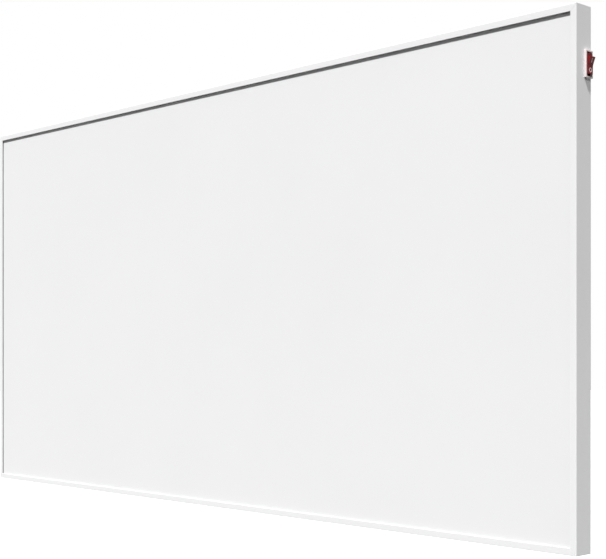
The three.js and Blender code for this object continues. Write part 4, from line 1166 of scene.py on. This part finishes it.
def cut_outline(sizes):
    """A disc cut to half the side view and mirrored, with square ends and rounded edges."""
    half = sizes.rocker_width / 2
    disc = rod("rocker_cap", sizes.rocker_radius, (0, -half, 0), (0, half, 0), 160)
    slope = sizes.rocker_slope
    cuts = (
        ((sizes.rocker_dip, 0, 0), (math.cos(slope), 0, -math.sin(slope)), True),
        ((sizes.rocker_rim, 0, 0), (-1, 0, 0), True),
        ((0, 0, 0), (0, 0, -1), False),
    )
    open_mesh(disc)
    for point, normal, fill in cuts:
        bpy.ops.mesh.select_all(action="SELECT")
        bpy.ops.mesh.bisect(plane_co=point, plane_no=normal, use_fill=fill, clear_outer=True)
    close_mesh()
    finish_with(disc, "MIRROR", use_axis=(False, False, True), merge_threshold=HAIR)
    end, reach = sizes.rocker_length / 2, 2 * sizes.rocker_radius
    for side in (-1, 1):
        near, far = sorted((side * end, side * reach))
        corners = (sizes.rocker_shoulder, -reach, near), (reach, reach, far)
        take_away(disc, block("square_end", *corners))
    open_mesh(disc, "EDGE")
    face_out()
    dip, rim = sizes.rocker_dip - HAIR, sizes.rocker_rim + NEAR
    pick_edges(lambda co: abs(co.z) < HAIR and co.x > dip)
    round_picked(sizes.rocker_dip_round, 6)
    close_mesh()
    open_mesh(disc, "EDGE")
    pick("edges", lambda edge: edge.calc_face_angle(0) > math.radians(30)
         and not every_end(edge, lambda co: co.x < rim))
    round_picked(sizes.rocker_edge, 4)
    close_mesh()
    return disc


def hollow_out(rocker, sizes):
    """The open inner side: a rim of one wall, and a hollow that narrows inwards."""
    rim = sizes.rocker_rim + NEAR
    open_mesh(rocker)
    pick("faces", lambda face: face.normal.x < -0.95 and face.calc_center_median().x < rim)
    bpy.ops.mesh.inset(thickness=sizes.rocker_wall, use_boundary=True)
    skirt = sizes.rocker_shoulder - sizes.rocker_wall - sizes.rocker_rim
    cap = sizes.rocker_dip - sizes.rocker_shoulder - sizes.hollow_step
    # How deep each part of the hollow is, and what it leaves of the width and the length.
    parts = ((skirt, 1, 0.95), (sizes.hollow_step, 0.95, 0.71), (cap, 1, 0.96))
    for depth, across, along in parts:
        pull(depth, 0, 0)
        scale_picked((1, across, along))
    face_out()
    close_mesh()


def stem_and_trunnions(sizes):
    """The bored stem that holds the plunger, and a boss and a pin rooted in each side wall."""
    top, foot = sizes.rocker_dip - sizes.rocker_wall / 2, -sizes.stem_reach
    stem = rod("stem", sizes.stem_radius, (foot, 0, 0), (top, 0, 0))
    take_away(stem, rod("bore", sizes.bore_radius, (foot - MM, 0, 0), (sizes.bore_depth, 0, 0), 32))
    outer, end = sizes.rocker_width / 2, sizes.trunnion_span / 2
    inner, face = outer - sizes.rocker_wall, outer - SKIN
    # A pin is rooted further out than its boss, so that no two faces are level.
    root, pin_root = inner + NEAR, inner + 4 * NEAR
    pieces = [stem]
    for side in (-1, 1):
        boss = rod("boss", sizes.boss_radius, (0, side * root, 0), (0, side * face, 0))
        pin = rod("pin", sizes.trunnion_radius, (0, side * pin_root, 0), (0, side * end, 0), 32)
        pieces += [boss, pin]
    return pieces


def on_face(sizes, half):
    """The matrix from a mark's own plane to the upper (1) or lower (-1) half of the face."""
    slope = sizes.rocker_slope
    up = Vector((math.sin(slope), 0, half * math.cos(slope)))
    out = Vector((math.cos(slope), 0, -half * math.sin(slope)))
    middle = Vector((sizes.rocker_dip, 0, 0)) + up * sizes.mark_place
    across = up.cross(out)
    turn_to_face = Matrix((across, up, out)).transposed().to_4x4()
    return Matrix.Translation(middle) @ turn_to_face


def upright_mark(sizes):
    """The upright stroke on the half that switches on."""
    half, tall = sizes.mark_stroke / 2, sizes.mark_height / 2
    corner = half * 0.6
    low, high = (-half, -tall, -sizes.mark_root), (half, tall, sizes.mark_proud)
    mark = block("rocker_mark_on", low, high)
    open_mesh(mark, "EDGE")
    pick("edges", lambda edge: abs(edge.verts[0].co.z - edge.verts[1].co.z) > NEAR)
    round_picked(corner, 4)
    close_mesh()
    mark.matrix_world = on_face(sizes, 1)
    return settle(mark)


def ring_mark(sizes):
    """The ring on the half that switches off."""
    outer, under, over = sizes.mark_height / 2, -sizes.mark_root, sizes.mark_proud
    inner = outer - sizes.mark_stroke
    profile = [(inner, under), (outer, under), (outer, over), (inner, over), (inner, under)]
    mark = turn("rocker_mark_off", profile, 40, hollow=True)
    mark.matrix_world = on_face(sizes, -1)
    return settle(mark)


class HEATER_OT_rocker(bpy.types.Operator):
    """Models the red rocker with its dip, square ends, hollow, stem and trunnions, and its marks"""

    bl_idname = "heater.rocker"
    bl_label = "Rocker and marks"

    def execute(self, context):
        sizes = context.scene.heater_sizes
        rocker = cut_outline(sizes)
        hollow_out(rocker, sizes)
        weld_on(rocker, *stem_and_trunnions(sizes))
        mend(rocker)
        place = rocker_place(sizes)
        rocker.matrix_world = place
        settle(rocker)
        dress(shade(rocker, 30), "red", BUTTON, ("rocker",))
        for mark in (upright_mark(sizes), ring_mark(sizes)):
            mark.matrix_world = place
            settle(mark)
            dress(mark, "mark", BUTTON)
        return {"FINISHED"}


# ---------- stage


def place_camera(context, stage):
    """The camera of the photograph: level, with its picture shifted up."""
    data = bpy.data.cameras.new("camera")
    data.lens = stage.camera_lens
    data.sensor_width = stage.camera_sensor
    data.shift_y = stage.camera_shift
    data.clip_start = 0.01
    data.clip_end = 200.0
    camera = bpy.data.objects.new("camera", data)
    camera.location = stage.camera_place
    camera.rotation_euler = Vector(stage.camera_aim).to_track_quat("-Z", "Y").to_euler()
    context.scene.collection.objects.link(camera)
    context.scene.camera = camera


def hang_sun(context, name, direction, strength, size):
    """A lamp so far away that its light is parallel."""
    data = bpy.data.lights.new(name, "SUN")
    data.energy = strength
    data.angle = size
    lamp = bpy.data.objects.new(name, data)
    distance = context.scene.heater_stage.lamp_distance
    lamp.location = Vector(direction).normalized() * distance
    lamp.rotation_euler = Vector(direction).to_track_quat("Z", "Y").to_euler()
    context.scene.collection.objects.link(lamp)


def seen_rays(tree):
    """1 for rays from the camera or by way of gloss or glass, and 0 for the rest."""
    path = tree.add("ShaderNodeLightPath").outputs
    bright = tree.maths("MAXIMUM", path["Is Camera Ray"], path["Is Glossy Ray"])
    return tree.maths("MAXIMUM", bright, path["Is Transmission Ray"])


def light_world(context, stage):
    """White where it is seen, and an even soft light, weaker from below, on the heater."""
    context.scene.world = bpy.data.worlds.new("studio")
    tree = blank_tree(context.scene.world)
    direction = tree.add("ShaderNodeTexCoord").outputs["Generated"]
    height = tree.add("ShaderNodeSeparateXYZ", Vector=direction).outputs["Z"]
    level = tree.spread(
        height, stage.ground_strength, stage.sky_strength, -stage.horizon, stage.horizon)
    strength = tree.maths("MAXIMUM", seen_rays(tree), level)
    light = tree.add("ShaderNodeBackground", Color=(1, 1, 1), Strength=strength)
    tree.add("ShaderNodeOutputWorld", Surface=light.outputs["Background"])


def lay_floor(stage):
    """A wide pale floor that keeps the heater's shadow."""
    bpy.ops.object.select_all(action="DESELECT")
    bpy.ops.mesh.primitive_plane_add(size=stage.floor_size, location=(0, 0, -stage.floor_drop))
    floor = settle(new_piece("floor"))
    material = bpy.data.materials.new("floor")
    tree = blank_tree(material)
    shade_seen = tree.mix(seen_rays(tree), stage.floor_bounce, stage.floor_shade)
    matt = tree.add("ShaderNodeBsdfDiffuse", Color=shade_seen)
    tree.add("ShaderNodeOutputMaterial", Surface=matt.outputs["BSDF"])
    floor.data.materials.append(material)


class HEATER_OT_stage(bpy.types.Operator):
    """Sets up the camera, the lamps, the world and the floor"""

    bl_idname = "heater.stage"
    bl_label = "Camera, light and floor"

    def execute(self, context):
        stage = context.scene.heater_stage
        place_camera(context, stage)
        hang_sun(context, "main_lamp", stage.sun_direction, stage.sun_strength, stage.sun_angle)
        hang_sun(context, "right_lamp", stage.fill_direction, stage.fill_strength, stage.fill_angle)
        light_world(context, stage)
        lay_floor(stage)
        context.scene.view_settings.view_transform = "Standard"
        return {"FINISHED"}


# ---------- panel and registration


STEPS = (
    HEATER_OT_stage,
    HEATER_OT_frame,
    HEATER_OT_plate,
    HEATER_OT_layers,
    HEATER_OT_back,
    HEATER_OT_brackets,
    HEATER_OT_cable_box,
    HEATER_OT_wiring,
    HEATER_OT_switch_housing,
    HEATER_OT_rocker,
)
PROPERTY_GROUPS = (HeaterSizes, HeaterColours, HeaterStage)


class HEATER_PT_panel(bpy.types.Panel):
    """Lists the steps that make the heater, with their sizes and colours"""

    bl_idname = "HEATER_PT_panel"
    bl_label = "Infrared panel heater"
    bl_space_type = "VIEW_3D"
    bl_region_type = "UI"
    bl_category = "Heater"

    def draw(self, context):
        layout = self.layout
        for step in STEPS:
            layout.operator(step.bl_idname)
        scene = context.scene
        for values in (scene.heater_sizes, scene.heater_colours, scene.heater_stage):
            box = layout.box()
            for name in values.__annotations__:
                box.prop(values, name)


def register():
    """Makes the heater's values, steps and panel known to Blender."""
    for kind in (*PROPERTY_GROUPS, *STEPS, HEATER_PT_panel):
        bpy.utils.register_class(kind)
    bpy.types.Scene.heater_sizes = PointerProperty(type=HeaterSizes)
    bpy.types.Scene.heater_colours = PointerProperty(type=HeaterColours)
    bpy.types.Scene.heater_stage = PointerProperty(type=HeaterStage)


def unregister():
    """Takes them out again."""
    del bpy.types.Scene.heater_stage
    del bpy.types.Scene.heater_colours
    del bpy.types.Scene.heater_sizes
    for kind in reversed((*PROPERTY_GROUPS, *STEPS, HEATER_PT_panel)):
        bpy.utils.unregister_class(kind)


def main():
    """Makes everything in order."""
    register()
    for step in STEPS:
        family, name = step.bl_idname.split(".")
        getattr(getattr(bpy.ops, family), name)()


if __name__ == "__main__":
    main()
